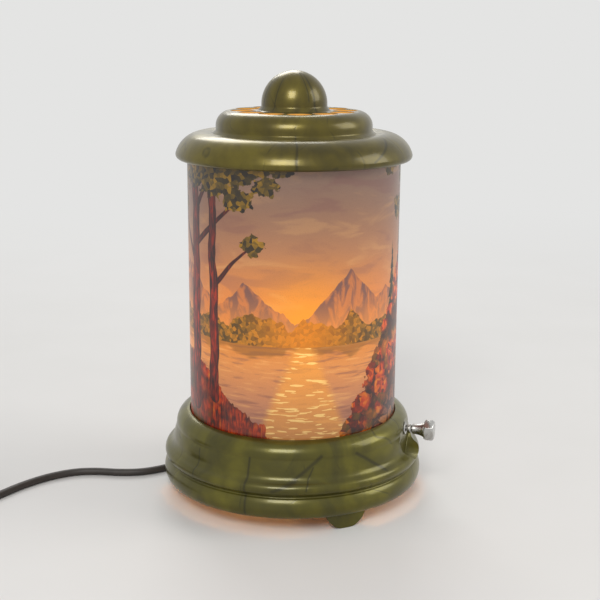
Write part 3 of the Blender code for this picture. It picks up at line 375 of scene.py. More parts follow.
class RingTree:
    """A geometry tree that repeats a piece round the lamp's axis."""

    def __init__(self) -> None:
        """Builds the tree with its named inputs."""
        self.tree = bpy.data.node_groups.new("ring_of_copies", "GeometryNodeTree")
        face, self.keys = self.tree.interface, {}
        inputs = {"Geometry": "Geometry", "Count": "Int", "Start angle": "Float", "Finish": "Material"}
        for name, kind in inputs.items():
            socket = face.new_socket(name, in_out="INPUT", socket_type="NodeSocket" + kind)
            self.keys[name] = socket.identifier
        face.new_socket("Geometry", in_out="OUTPUT", socket_type="NodeSocketGeometry")
        kinds = {
            "given": "NodeGroupInput",
            "points": "GeometryNodePoints",
            "index": "GeometryNodeInputIndex",
            "spin": "ShaderNodeCombineXYZ",
            "copies": "GeometryNodeInstanceOnPoints",
            "real": "GeometryNodeRealizeInstances",
            "dressed": "GeometryNodeSetMaterial",
            "out": "NodeGroupOutput",
        }
        nodes = {name: self.tree.nodes.new(kind) for name, kind in kinds.items()}
        sums = {"step": "DIVIDE", "turned": "MULTIPLY", "sum": "ADD", "angle": "RADIANS"}
        for name, operation in sums.items():
            nodes[name] = self.tree.nodes.new("ShaderNodeMath")
            nodes[name].operation = operation
        nodes["step"].inputs[0].default_value = 360.0
        links = (
            ("given", "Count", "points", "Count"),
            ("given", "Count", "step", 1),
            ("step", 0, "turned", 0),
            ("index", 0, "turned", 1),
            ("turned", 0, "sum", 0),
            ("given", "Start angle", "sum", 1),
            ("sum", 0, "angle", 0),
            ("angle", 0, "spin", "Z"),
            ("points", 0, "copies", "Points"),
            ("given", "Geometry", "copies", "Instance"),
            ("spin", 0, "copies", "Rotation"),
            ("copies", 0, "real", 0),
            ("real", 0, "dressed", "Geometry"),
            ("given", "Finish", "dressed", "Material"),
            ("dressed", 0, "out", 0),
        )
        for source, output, target, put in links:
            self.tree.links.new(nodes[source].outputs[output], nodes[target].inputs[put])

    def repeat(self, obj: Piece, count: int, start: float) -> Piece:
        """Repeats a piece that is modelled at angle 0.

        Args:
            obj: The piece, with its finish in its first slot.
            count: Number of copies in the full turn.
            start: Angle of the first copy.

        Returns:
            The same object, as one plain mesh of all copies.
        """
        step = obj.modifiers.new("ring", "NODES")
        step.node_group = self.tree
        for name, value in (("Count", count), ("Start angle", start), ("Finish", obj.data.materials[0])):
            step[self.keys[name]] = value
        return settle(obj)


# Shader formulas


def linear(shade: Shade) -> tuple[float, float, float, float]:
    """A screen colour in linear light, with full cover."""

    def straight(value: float) -> float:
        """One channel in linear light."""
        part = value / 255
        return part / 12.92 if part <= 0.04045 else ((part + 0.055) / 1.055) ** 2.4

    red, green, blue = shade
    return straight(red), straight(green), straight(blue), 1.0


def sign(operation: str, turned: bool = False) -> Callable[["Field", Number], "Field"]:
    """A method for an arithmetic sign.

    Args:
        operation: What the Math node does.
        turned: Whether the field stands on the right of the sign.

    Returns:
        The method, which places one Math node.
    """

    def method(self: "Field", other: Number) -> "Field":
        """Places the node on both sides of the sign."""
        return self.pad.math(operation, other, self) if turned else self.pad.math(operation, self, other)

    return method


class Field:
    """A value or colour that changes over the surface, which arithmetic signs extend."""

    def __init__(self, pad: "Pad", socket: bpy.types.NodeSocket) -> None:
        """Wraps an output socket of a pad's tree."""
        self.pad, self.socket = pad, socket

    __add__, __radd__ = sign("ADD"), sign("ADD", True)
    __sub__, __rsub__ = sign("SUBTRACT"), sign("SUBTRACT", True)
    __mul__, __rmul__ = sign("MULTIPLY"), sign("MULTIPLY", True)
    __truediv__ = sign("DIVIDE")


class Pad:
    """Places nodes in one shader tree, so that a pattern reads as a formula."""

    def __init__(self, tree: Tree) -> None:
        """Keeps the tree to draw in."""
        self.tree = tree

    def feed(self, socket: bpy.types.NodeSocket, value: object) -> None:
        """Links a field to a socket, or sets a plain value or a screen colour on it."""
        if isinstance(value, Field):
            self.tree.links.new(value.socket, socket)
        else:
            socket.default_value = linear(value) if socket.type == "RGBA" else value

    def fill(self, node: Node, values: dict[int | str, object]) -> None:
        """Feeds several of a node's inputs, given by name or number."""
        for key, value in values.items():
            self.feed(node.inputs[key], value)

    def run(
        self, kind: str, values: dict[int | str, object], out: int | str = 0, **settings: object
    ) -> Field:
        """A new node.

        Args:
            kind: The node's type.
            values: What its inputs take, by name or number.
            out: The output that is wanted.
            settings: The node's own settings.

        Returns:
            The output.
        """
        node = self.tree.nodes.new(kind)
        for key, value in settings.items():
            setattr(node, key, value)
        self.fill(node, values)
        return Field(self, node.outputs[out])

    def use(self, group: Tree, **values: object) -> Field:
        """A group node with its inputs fed."""
        return self.run("ShaderNodeGroup", values, node_tree=group)

    def math(self, operation: str, *values: Number, clamp: bool = False) -> Field:
        """One Math node on the values."""
        return self.run("ShaderNodeMath", dict(enumerate(values)), operation=operation, use_clamp=clamp)

    def fold(self, operation: str, values: Sequence[Number]) -> Field:
        """One value of many, by a Math node between each and the next."""
        found = values[0]
        for value in values[1:]:
            found = self.math(operation, found, value)
        return found

    def least(self, *values: Number) -> Field:
        """The smallest of some values."""
        return self.fold("MINIMUM", values)

    def most(self, *values: Number) -> Field:
        """The largest of some values."""
        return self.fold("MAXIMUM", values)

    def size(self, value: Number) -> Field:
        """The absolute value."""
        return self.math("ABSOLUTE", value)

    def span(self, x: Field, y: Field) -> Field:
        """The length of a step along two axes."""
        return self.math("SQRT", x * x + y * y)

    def bearing(self, x: Field, y: Field) -> Field:
        """The direction of a point round the axis, in degrees."""
        return self.math("DEGREES", self.math("ARCTAN2", y, x))

    def bell(self, value: Field, centre: float, width: Number) -> Field:
        """A soft hill of height 1 about a centre."""
        off = (value - centre) / width
        return self.math("POWER", INVERSE_E, off * off)

    def smooth(self, value: Number, low: float, high: float) -> Field:
        """0 below low and 1 above high, or the other way round, with a soft step between."""
        values = {"Value": value, "From Min": min(low, high), "From Max": max(low, high)}
        values |= {"To Min": float(low > high), "To Max": float(low <= high)}
        return self.run("ShaderNodeMapRange", values, "Result", interpolation_type="SMOOTHSTEP")

    def line(self, value: Field, low: Point, high: Point) -> Field:
        """A straight change from one (value, result) point to another, held beyond them."""
        ends = {"From Min": low[0], "To Min": low[1], "From Max": high[0], "To Max": high[1]}
        return self.run("ShaderNodeMapRange", {"Value": value, **ends}, "Result", clamp=True)

    def where(self) -> Field:
        """The point on the piece, in millimetres."""
        point = self.run("ShaderNodeTexCoord", {}, "Object")
        return self.run("ShaderNodeVectorMath", {0: point, "Scale": 1 / MM}, operation="SCALE")

    def parts(self, vector: Field) -> tuple[Field, Field, Field]:
        """The three numbers of a vector."""
        first = self.run("ShaderNodeSeparateXYZ", {0: vector})
        return tuple(Field(self, out) for out in first.socket.node.outputs)

    def stretched(self, vector: Field, x: float, y: float, z: float) -> Field:
        """A vector with each of its numbers scaled."""
        return self.run("ShaderNodeVectorMath", {0: vector, 1: (x, y, z)}, operation="MULTIPLY")

    def noise(
        self, vector: Field, scale: Number, detail: float = 2.0, warp: float = 0.0, rough: float = 0.5,
        tall: float = 1.0, out: int | str = 0,
    ) -> Field:
        """Soft noise.

        Args:
            vector: Where to take it.
            scale: Its fineness.
            detail: How many finer layers it has.
            warp: How much it is distorted.
            rough: How strong the finer layers are.
            tall: How much finer it is upwards than across.
            out: The node's output, a value from 0 to 1 or else the colour.

        Returns:
            The noise.
        """
        if tall != 1.0:
            vector = self.stretched(vector, 1.0, 1.0, tall)
        values = {"Vector": vector, "Scale": scale, "Detail": detail, "Distortion": warp, "Roughness": rough}
        return self.run("ShaderNodeTexNoise", values, out)

    def warped(self, vector: Field, scale: float, amount: float) -> Field:
        """A vector pushed about by noise, so that what is drawn by it wavers."""
        push = self.noise(vector, scale, 3.0, out="Color")
        values = {0: push, 1: (amount,) * 3, 2: vector}
        return self.run("ShaderNodeVectorMath", values, operation="MULTIPLY_ADD")

    def cells(self, vector: Field, scale: float, feature: str = "F1") -> Field:
        """Distance to the nearest random point, or to a cell's border with DISTANCE_TO_EDGE."""
        values = {"Vector": vector, "Scale": scale}
        return self.run("ShaderNodeTexVoronoi", values, "Distance", feature=feature)

    def lots(self, vector: Field, scale: float) -> Field:
        """A random number for each cell."""
        values = {"Vector": vector, "Scale": scale}
        return self.parts(self.run("ShaderNodeTexVoronoi", values, "Color", feature="F1"))[0]

    def ramp(self, value: Field, *stops: tuple[float, Shade]) -> Field:
        """A colour ramp with its stops in order."""
        made = self.run("ShaderNodeValToRGB", {0: value})
        elements = made.socket.node.color_ramp.elements
        for i, (at, shade) in enumerate(stops):
            element = elements[i] if i < 2 else elements.new(at)
            element.position, element.color = at, linear(shade)
        return made

    def over(self, under: Field | Shade, shade: Field | Shade, mask: Number, mode: str = "MIX") -> Field:
        """A colour laid over another by a mask."""
        values = {0: mask, 6: under, 7: shade}
        return self.run("ShaderNodeMix", values, 2, data_type="RGBA", blend_type=mode, clamp_factor=True)

    def layers(self, ground: Field | Shade, *coats: tuple[Field | Shade, Number]) -> Field:
        """Colours laid over a ground one after the other, each by its mask."""
        for shade, mask in coats:
            ground = self.over(ground, shade, mask)
        return ground

    def rich(self, colour: Field, saturation: float, gamma: float) -> Field:
        """A colour made stronger, and deeper in its shades where the gamma is above 1."""
        deeper = self.run("ShaderNodeGamma", {"Color": colour, "Gamma": gamma})
        return self.run("ShaderNodeHueSaturation", {"Color": deeper, "Saturation": saturation})

    def bump(self, shader: Node, relief: Field, height: float) -> None:
        """Feeds a relief, as high as given in millimetres where it is 1, to a shader's normal."""
        values = {"Strength": 1.0, "Distance": height * MM, "Height": relief}
        self.feed(shader.inputs["Normal"], self.run("ShaderNodeBump", values))

    def blend(self, mask: Field, first: Node, second: Field, out: str) -> None:
        """Feeds the named output node with one shader, and with a second one by a mask."""
        mixed = self.run("ShaderNodeMixShader", {0: mask, 1: Field(self, first.outputs[0]), 2: second})
        self.feed(self.tree.nodes[out].inputs["Surface"], mixed)


Surface = tuple[dict[str, object], Field, float]
NUMBER, VECTOR = "NodeSocketFloat", "NodeSocketVector"


class ShadeGroup:
    """A shared effect as a shader node group with named inputs and one output."""

    def __init__(self, name: str, inputs: dict[str, tuple[str, object]], output: str) -> None:
        """Builds the group's sockets.

        Args:
            name: The group's name.
            inputs: Socket type and default by input name.
            output: Name of the output, which is a number.
        """
        self.tree = bpy.data.node_groups.new(name, "ShaderNodeTree")
        for key, (kind, default) in inputs.items():
            socket = self.tree.interface.new_socket(key, in_out="INPUT", socket_type=kind)
            if default is not None:
                socket.default_value = default
        self.tree.interface.new_socket(output, in_out="OUTPUT", socket_type=NUMBER)
        self.pad = Pad(self.tree)
        given = self.tree.nodes.new("NodeGroupInput")
        self.fields = [Field(self.pad, given.outputs[key]) for key in inputs]

    def give(self, value: Field) -> Tree:
        """Feeds the group's output and returns the finished tree."""
        self.pad.feed(self.tree.nodes.new("NodeGroupOutput").inputs[0], value)
        return self.tree


def drawn_group(
    name: str, keys: Sequence[str], formula: Callable[..., Field], default: float = 1.0
) -> Tree:
    """A group that gives a drawn shape's distance value.

    Args:
        name: The group's name.
        keys: Its number inputs after Across and Height, in the order that the formula takes them.
        formula: Gives the distance value from a pad and the inputs.
        default: What each input starts with.

    Returns:
        The group's tree.
    """
    group = ShadeGroup(name, {key: (NUMBER, default) for key in ("Across", "Height", *keys)}, "Distance")
    return group.give(formula(group.pad, *group.fields))


def limb_distance(
    pad: Pad, u: Field, z: Field, x0: Field, z0: Field, x1: Field, z1: Field, w0: Field, w1: Field
) -> Field:
    """The distance from a stroke that tapers from one point to another, in millimetres."""
    run, rise, du, dz = x1 - x0, z1 - z0, u - x0, z - z0
    along = pad.math("DIVIDE", du * run + dz * rise, run * run + rise * rise, clamp=True)
    return pad.span(du - along * run, dz - along * rise) - (w0 + (w1 - w0) * along)


def clump_distance(pad: Pad, u: Field, z: Field, x0: Field, z0: Field, wide: Field, tall: Field) -> Field:
    """An oval's distance value: 0 at its centre and 1 at its edge."""
    return pad.span((u - x0) / wide, (z - z0) / tall)


def fir_distance(pad: Pad, u: Field, z: Field, x0: Field, foot: Field, top: Field, wide: Field) -> Field:
    """A fir's distance value: negative within its stepped outline."""
    share = (top - z) / (top - foot)
    step = pad.math("FRACT", share * 7.0)
    width = wide * share * (0.55 + 0.45 * step)
    return pad.most(pad.size(u - x0) - width, z - top, foot - z)


def dust_group() -> Tree:
    """Fine dust and handling marks: a mask that changes slowly, with small specks."""
    inputs = {"Where": (VECTOR, None), "Scale": (NUMBER, 0.05), "Amount": (NUMBER, 0.5)}
    group = ShadeGroup("dust", inputs, "Mask")
    pad, (where, scale, amount) = group.pad, group.fields
    specks = pad.smooth(pad.noise(where, 1.3, 2.0), 0.62, 0.72)
    return group.give(pad.math("MULTIPLY", pad.noise(where, scale, 4.0) + specks * 0.35, amount, clamp=True))


def lamplight_group() -> Tree:
    """How strongly the bulb lights a place, for a painted glow: 1 beside it, less far above and below."""
    group = ShadeGroup("lamplight", {"Where": (VECTOR, None), "Reach": (NUMBER, 60.0)}, "Mask")
    where, reach = group.fields
    return group.give(group.pad.bell(group.pad.parts(where)[2], BRIGHTEST, reach))


LIMB_KEYS = ("X0", "Z0", "X1", "Z1", "W0", "W1")
CLUMP_KEYS = ("X", "Z", "Half width", "Half height")
FIR_KEYS = ("X", "Foot", "Top", "Half width")


class Groups:
    """The shared shader groups, each built once."""

    def __init__(self) -> None:
        """Builds the groups."""
        self.limb = drawn_group("drawn_limb", LIMB_KEYS, limb_distance, 0.0)
        self.clump = drawn_group("drawn_clump", CLUMP_KEYS, clump_distance)
        self.fir = drawn_group("drawn_fir", FIR_KEYS, fir_distance)
        self.dust = dust_group()
        self.lamplight = lamplight_group()


class Shine(Enum):
    """How a metal was finished."""

    PLATED = 0.16
    SPUN = 0.30
    DULL = 0.42


def blank(name: str) -> tuple[Finish, Pad, Node, Field]:
    """Starts a material.

    Args:
        name: The material's name.

    Returns:
        The material, a pad on its tree, its shader node and the point on the piece.
    """
    material = bpy.data.materials.new(name)
    material.use_nodes = True
    pad = Pad(material.node_tree)
    return material, pad, material.node_tree.nodes["Principled BSDF"], pad.where()


@dataclass(frozen=True)
class Skin:
    """A finish: its name, the shared groups, and a surface that each kind draws in its own way."""

    name: str
    groups: Groups

    def surface(self, pad: Pad, where: Field) -> Surface:
        """Draws the finish.

        Args:
            pad: A pad on the material's tree.
            where: The point on the piece, in millimetres.

        Returns:
            What the shader takes by input name, the relief, and its height in millimetres.
        """
        raise NotImplementedError(self.name)

    def make(self) -> Finish:
        """Builds the material."""
        material, pad, shader, where = blank(self.name)
        values, relief, height = self.surface(pad, where)
        pad.fill(shader, values)
        pad.bump(shader, relief, height)
        return material


@dataclass(frozen=True)
class WeldLine:
    """Where two fronts of the moulded plastic met: a faint dark line from one place to another."""

    start_angle: float
    start_height: float
    end_angle: float
    end_height: float
    width: float


@dataclass(frozen=True)
class PearlPlastic(Skin):
    """Olive moulded plastic with a pearly swirl, soft flow marks and a polished skin."""

    welds: tuple[WeldLine, ...]
    mean_radius: float
    deep: Shade = (64, 60, 10)
    body: Shade = (80, 75, 13)
    pearl: Shade = (101, 95, 22)
    lit_vents: bool = False

    def surface(self, pad: Pad, where: Field) -> Surface:
        """Draws the swirl, the flow marks and, in the lid, a painted glow on the walls of the vents."""
        x, y, z = pad.parts(where)
        swirl = pad.noise(where, 0.022, 3.0, 1.6, 0.55, tall=0.55)
        cloud = pad.noise(where, 0.07, 3.0, 0.8)
        colour = pad.ramp(swirl * 0.7 + cloud * 0.3, (0.34, self.deep), (0.48, self.body), (0.64, self.pearl))
        contour = pad.size(pad.noise(where, 0.017, 1.0, 1.1, tall=0.7) - 0.5)
        flow = pad.smooth(contour, 0.012, 0.0) * pad.smooth(cloud, 0.42, 0.62)
        line, shade = self.weld_marks(pad, where, flow)
        dust = pad.use(self.groups.dust, Where=where, Scale=0.045, Amount=0.5)
        colour = pad.layers(
            colour, (self.deep, shade * 0.5), ((28, 26, 8), line * 0.8), ((150, 146, 110), dust * 0.06)
        )
        values = {
            "Base Color": colour,
            "Metallic": 0.42 + 0.24 * swirl,
            "Roughness": 0.26 + 0.16 * dust,
            "Coat Weight": 0.22,
            "Coat Roughness": 0.08,
            "IOR": 1.5,
        }
        if self.lit_vents:
            # painted glow: the vent walls emit warm light in place of the bulb's light from below
            glow = self.vent_walls(pad, x, y) * pad.smooth(z, 254.7, 253.4)
            values["Emission Color"] = pad.over((0, 0, 0), (255, 176, 84), glow)
            values["Emission Strength"] = 1.0
        ripple = pad.noise(where, 0.045, 2.0) - line * 0.18 + pad.noise(where, 0.9, 2.0) * 0.02
        return values, ripple, 0.35

    def weld_marks(self, pad: Pad, where: Field, flow: Field) -> tuple[Field, Field]:
        """The narrow line and the broad shade along every weld, over the flow marks."""
        x, y, z = pad.parts(where)
        angle = pad.math("WRAP", pad.bearing(x, y) - FRONT, 180.0, -180.0)
        across = angle * (math.radians(1.0) * self.mean_radius) + (pad.noise(where, 0.05, 1.0) * 3.0 - 1.5)
        line, shade = flow * 0.55, flow * 0.3
        for weld in self.welds:
            start, end = (math.radians(a) * self.mean_radius for a in (weld.start_angle, weld.end_angle))
            row = dict(zip(LIMB_KEYS, (start, weld.start_height, end, weld.end_height, 0.0, 0.0)))
            gap = pad.use(self.groups.limb, Across=across, Height=z, **row)
            line = pad.most(line, pad.smooth(gap, weld.width * 2.4, 0.0) * 0.8)
            shade = pad.most(shade, pad.smooth(gap, weld.width * 16.0, 0.0))
        return line, shade

    def vent_walls(self, pad: Pad, x: Field, y: Field) -> Field:
        """1 within the vents, where a painted glow stands in for the bulb's light from below."""
        half = 180.0 / VENTS
        spot = pad.math("RADIANS", pad.math("WRAP", pad.bearing(x, y) - VENT_START, half, -half))
        reach = pad.span(x, y)
        off_x, off_y = reach * pad.math("COSINE", spot) - VENT_RING, reach * pad.math("SINE", spot)
        return pad.smooth(pad.span(off_x, off_y), 8.6, 8.1)


@dataclass(frozen=True)
class Metal(Skin):
    """A metal with tarnish, fine scratches and worn bright places."""

    colour: Shade
    tarnish: Shade
    shine: Shine

    def surface(self, pad: Pad, where: Field) -> Surface:
        """Draws the tarnish and the scratches."""
        dust = pad.use(self.groups.dust, Where=where, Scale=0.09, Amount=0.9)
        patches = pad.smooth(pad.noise(where, 0.11, 4.0, 0.6), 0.42, 0.66)
        scratches = pad.noise(pad.stretched(where, 6.0, 6.0, 0.7), 0.8, 2.0)
        values = {
            "Base Color": pad.over(self.colour, self.tarnish, patches * 0.55 + dust * 0.2),
            "Roughness": self.shine.value + patches * 0.18 + scratches * 0.10,
            "Metallic": 1.0,
        }
        return values, scratches * 0.4 + dust * 0.3, 0.04


@dataclass(frozen=True)
class MouldedDark(Skin):
    """Rubber, bakelite or fibre: a dark, slightly mottled skin."""

    dark: Shade
    light: Shade
    roughness: float
    grain: float

    def surface(self, pad: Pad, where: Field) -> Surface:
        """Draws the mottle and the dust."""
        mottle = pad.noise(where, 0.12, 4.0, 1.0)
        dust = pad.use(self.groups.dust, Where=where, Scale=0.08, Amount=0.8)
        colour = pad.ramp(mottle, (0.3, self.dark), (0.75, self.light))
        colour = pad.over(colour, (120, 112, 100), dust * 0.18)
        values = {"Base Color": colour, "Roughness": self.roughness + 0.2 * dust}
        return values, pad.noise(where, 1.4, 3.0) * self.grain, 0.08


@dataclass(frozen=True)
class FrostedGlass(Skin):
    """The bulb's inside-frosted glass, lit by its filament."""

    filament: float = 120.0

    def surface(self, pad: Pad, where: Field) -> Surface:
        """Draws the haze and the filament's glow."""
        heat = pad.bell(pad.parts(where)[2], self.filament, 17.0)
        haze = pad.noise(where, 0.3, 3.0)
        values = {
            "Base Color": pad.over((226, 222, 210), (240, 238, 230), haze),
            "Emission Color": pad.over((196, 118, 48), (255, 216, 152), heat),
            "Emission Strength": 8.0,
            "Roughness": 0.28 + 0.15 * haze,
        }
        return values, haze, 0.03


@dataclass(frozen=True)
class Sheet:
    """A point of the print: on the piece, round it, along the rolled-out sheet and in height."""

    pad: Pad
    where: Field
    angle: Field
    across: Field
    z: Field

    def nearest(
        self, group: Tree, keys: Sequence[str], rows: Sequence[Sequence[float]],
        waver: Field | None = None,
    ) -> Field:
        """The least distance value of the shapes in a table.

        Args:
            group: The group that draws one shape.
            keys: What the table's columns feed; those that start with X are in degrees.
            rows: One shape each.
            waver: How far the drawing is pushed across.

        Returns:
            The distance value.
        """
        across = self.across + waver if waver else self.across
        found = []
        for row in rows:
            given = {k: v * MM_PER_DEGREE if k[0] == "X" else float(v) for k, v in zip(keys, row)}
            found.append(self.pad.use(group, Across=across, Height=self.z, **given))
        return self.pad.least(*found)


@dataclass(frozen=True)
class LakePrint(Skin):
    """The sleeve's print: an autumn lake at dusk, drawn all the way round, with a painted glow in place of
    light from inside.

    Each layer takes the sheet and the colour below it, and gives the colour with the layer on it.
    """

    radius: float = 69.0
    horizon: float = 116.0
    glow_angle: float = 6.0
    seam_angle: float = 205.0

    def surface(self, pad: Pad, where: Field) -> Surface:
        """Draws the layers, from the sky to the leaves, and a painted glow for the light behind them."""
        x, y, z = pad.parts(where)
        angle = pad.math("WRAP", pad.bearing(x, y) - FRONT, self.seam_angle, self.seam_angle - 360.0)
        sheet = Sheet(pad, where, angle, angle * (math.radians(1.0) * self.radius), z)
        colour, far = self.sky(sheet), (self.mountains, self.far_shore, self.water)
        for layer in (*far, self.hillside, self.left_bank, self.trees, self.leaves):
            colour = layer(sheet, colour)
        grain = pad.noise(where, 1.8, 2.0)
        colour = pad.rich(pad.over(colour, (120, 100, 90), pad.smooth(grain, 0.5, 0.8) * 0.16), 1.03, 1.2)
        # painted glow: the print emits warm light, strongest by the bulb, in place of light shining through
        # the sleeve
        lit = pad.use(self.groups.lamplight, Where=where, Reach=57.0)
        warm = pad.over((96, 82, 82), (255, 206, 132), lit)
        values = {
            "Base Color": pad.over(colour, (168, 156, 144), 1.0, "MULTIPLY"),
            "Emission Color": pad.over(colour, warm, 1.0, "MULTIPLY"),
            "Emission Strength": 0.8,
            "Roughness": 0.34 + grain * 0.1,
            "Coat Weight": 0.25,
            "Coat Roughness": 0.12,
        }
        return values, pad.noise(where, 0.03, 2.0) + grain * 0.01, 0.3

    def sky(self, sheet: Sheet) -> Field:
        """The sky, from a golden horizon to a greyer lilac, with soft streaks of cloud."""
        pad, angle, z = sheet.pad, sheet.angle, sheet.z
        rise = pad.math("DIVIDE", z - self.horizon, 108.0, clamp=True)
        stops = (
            (0.0, (246, 184, 96)), (0.22, (230, 172, 120)), (0.55, (206, 170, 148)), (1.0, (178, 162, 156)),
        )
        cloud = pad.noise(sheet.where, 0.026, 4.0, 0.5, tall=3.4)
        glow = pad.bell(angle, self.glow_angle, 25.0) * pad.bell(z, self.horizon + 14.0, 30.0)
        return pad.layers(
            pad.ramp(rise, *stops),
            ((150, 138, 150), pad.smooth(pad.size(angle - self.glow_angle), 35.0, 100.0) * 0.5),
            ((170, 136, 140), pad.smooth(cloud, 0.50, 0.66) * 0.45),
            ((236, 206, 168), pad.smooth(cloud, 0.44, 0.30) * 0.4),
            ((255, 196, 84), glow * 0.85),
        )

    def mountains(self, sheet: Sheet, colour: Field) -> Field:
        """Two ridges of far mountains, paler towards their feet."""
        pad, where, z = sheet.pad, sheet.where, sheet.z
        peaks = (
            (-26, 154, 0.95), (31, 163, 1.15), (58, 150, 0.9), (-78, 166, 0.8),
            (112, 170, 0.9), (-128, 160, 0.8), (165, 158, 0.8),
        )
        ridge = pad.most(*(top - pad.size(sheet.angle - at) * slope for at, top, slope in peaks))
        rough = pad.noise(where, 0.09, 5.0, tall=0.2) * 14.0 - 7.0
        shade = pad.noise(where, 0.12, 4.0, 1.2, tall=0.5)
        rock = pad.layers(
            (142, 118, 128),
            ((206, 154, 122), pad.smooth(shade, 0.42, 0.62)),
            ((238, 182, 112), pad.smooth(z, self.horizon + 34.0, self.horizon) * 0.8),
        )
        return pad.over(colour, rock, pad.smooth(ridge + rough - z, 0.0, 0.8))

    def far_shore(self, sheet: Sheet, colour: Field) -> Field:
        """Rounded trees along the far shore, golden before the glow and olive away from it."""
        pad, where, angle = sheet.pad, sheet.where, sheet.angle
        leaf = pad.noise(where, 0.33, 3.0)
        top = self.horizon - 6.0 + pad.noise(where, 0.055, 2.0, tall=0.0) * 36.0 + leaf * 5.0
        tone = pad.lots(where, 0.42) * 0.6 + leaf * 0.4
        trees = pad.layers(
            pad.ramp(tone, (0.25, (92, 84, 50)), (0.5, (136, 118, 56)), (0.75, (188, 150, 66))),
            ((238, 172, 56), pad.bell(angle, self.glow_angle, 22.0) * 0.65),
            ((120, 104, 92), pad.smooth(pad.size(angle - self.glow_angle), 30.0, 90.0) * 0.4),
        )
        return pad.over(colour, trees, pad.smooth(top - sheet.z, 0.0, 0.7))

    def water(self, sheet: Sheet, colour: Field) -> Field:
        """The lake, pale with long ripples, the shore's reflection and the sun's path of glints."""
        pad, where, z = sheet.pad, sheet.where, sheet.z
        stops = (0.0, (214, 162, 96)), (0.2, (222, 176, 130)), (0.6, (206, 166, 148)), (1.0, (158, 128, 138))
        ripple = pad.noise(where, 0.05, 3.0, 0.3, tall=8.0)
        mirrored = pad.noise(where, 0.055, 2.0, tall=0.0) * 20.0 - 4.0
        mirror = pad.smooth(mirrored - (self.horizon - z) + ripple * 6.0 - 3.0, 0.0, 3.0)
        away = pad.size(sheet.angle - self.glow_angle)
        wedge = pad.smooth(away - (4.0 + (self.horizon - z) * 0.34), 3.0, -3.0)
        dash = pad.noise(where, 0.10, 1.0, tall=7.0)
        lake = pad.layers(
            pad.ramp(pad.math("DIVIDE", self.horizon - z, 62.0, clamp=True), *stops),
            ((150, 118, 122), pad.smooth(ripple, 0.52, 0.66) * 0.5),
            ((240, 208, 164), pad.smooth(ripple, 0.44, 0.30) * 0.5),
            ((150, 120, 70), mirror * 0.6),
            ((248, 200, 112), wedge * 0.55),
            ((255, 240, 186), pad.smooth(dash, 0.585, 0.60) * wedge),
        )
        return pad.over(colour, lake, pad.smooth(self.horizon - z, 0.0, 0.5))

    def hillside(self, sheet: Sheet, colour: Field) -> Field:
        """The autumn slope on the right, its firs, a waterfall behind and the rocks at its foot."""
        pad, where, angle, z = sheet.pad, sheet.where, sheet.angle, sheet.z
        leaf = pad.noise(where, 0.26, 3.0)
        heap_at = pad.stretched(pad.warped(where, 0.14, 13.0), 1.0, 1.0, 1.25)
        clump = pad.cells(heap_at, 0.085)
        slope = pad.line(angle, (17.0, 40.0), (80.0, 170.0)) + pad.line(angle, (118.0, 0.0), (198.0, -122.0))
        slope = slope + pad.noise(where, 0.06, 3.0, tall=0.3) * 22.0 - 11.0
        stops = (0.18, (74, 40, 34)), (0.40, (146, 62, 34)), (0.58, (204, 92, 40)), (0.78, (222, 150, 60))
        bush = pad.layers(
            pad.ramp(pad.lots(where, 0.30) * 0.55 + leaf * 0.45, *stops),
            ((124, 114, 46), pad.smooth(pad.lots(heap_at, 0.085), 0.56, 0.66) * 0.6),
            ((52, 32, 40), pad.smooth(clump, 0.40, 0.82) * 0.85),
            ((240, 160, 72), pad.smooth(clump, 0.34, 0.10) * pad.smooth(leaf, 0.44, 0.56) * 0.4),
        )
        inside = pad.smooth(slope + (0.5 - clump) * 18.0 + leaf * 8.0 - 4.0 - z, 0.0, 0.8)
        firs = (
            (66, 112, 176, 9), (80, 120, 190, 10), (95, 118, 184, 9),
            (116, 124, 206, 11), (138, 106, 184, 10), (160, 88, 158, 9),
        )
        fir = sheet.nearest(self.groups.fir, FIR_KEYS, firs, leaf * 3.0 - 1.5)
        needles = pad.over((44, 50, 34), (112, 104, 52), pad.smooth(leaf, 0.5, 0.66))
        fall = pad.size(angle - 106.0 + leaf * 2.0) - (2.2 + (140.0 - z) * 0.03)
        fall = pad.smooth(fall, 0.4, -0.4) * pad.smooth(z, 96.0, 98.0) * pad.smooth(z, 148.0, 144.0)
        streak = pad.noise(where, 0.5, 2.0, tall=0.12)
        white = pad.over((176, 160, 164), (246, 232, 210), pad.smooth(streak, 0.42, 0.6))
        colour = pad.layers(colour, (needles, pad.smooth(fir, 0.3, -0.3)), (bush, inside), (white, fall))
        stone_at = pad.stretched(pad.warped(where, 0.1, 9.0), 1.0, 1.0, 1.6)
        tint = pad.lots(stone_at, 0.085) * 0.4 + pad.noise(where, 0.34, 4.0, 0.6, tall=2.2) * 0.6
        rocks = pad.over(
            pad.ramp(tint, (0.3, (92, 58, 60)), (0.5, (140, 98, 88)), (0.68, (196, 152, 120))),
            (64, 40, 48),
            pad.smooth(pad.cells(stone_at, 0.085, "DISTANCE_TO_EDGE"), 0.10, 0.02) * 0.85,
        )
        heap = pad.line(angle, (34.0, 40.0), (84.0, 92.0)) + pad.line(angle, (146.0, 0.0), (200.0, -60.0))
        heap = heap + pad.cells(stone_at, 0.085) * 10.0 - 4.0
        return pad.over(colour, rocks, pad.smooth(heap - z, 0.0, 0.7))

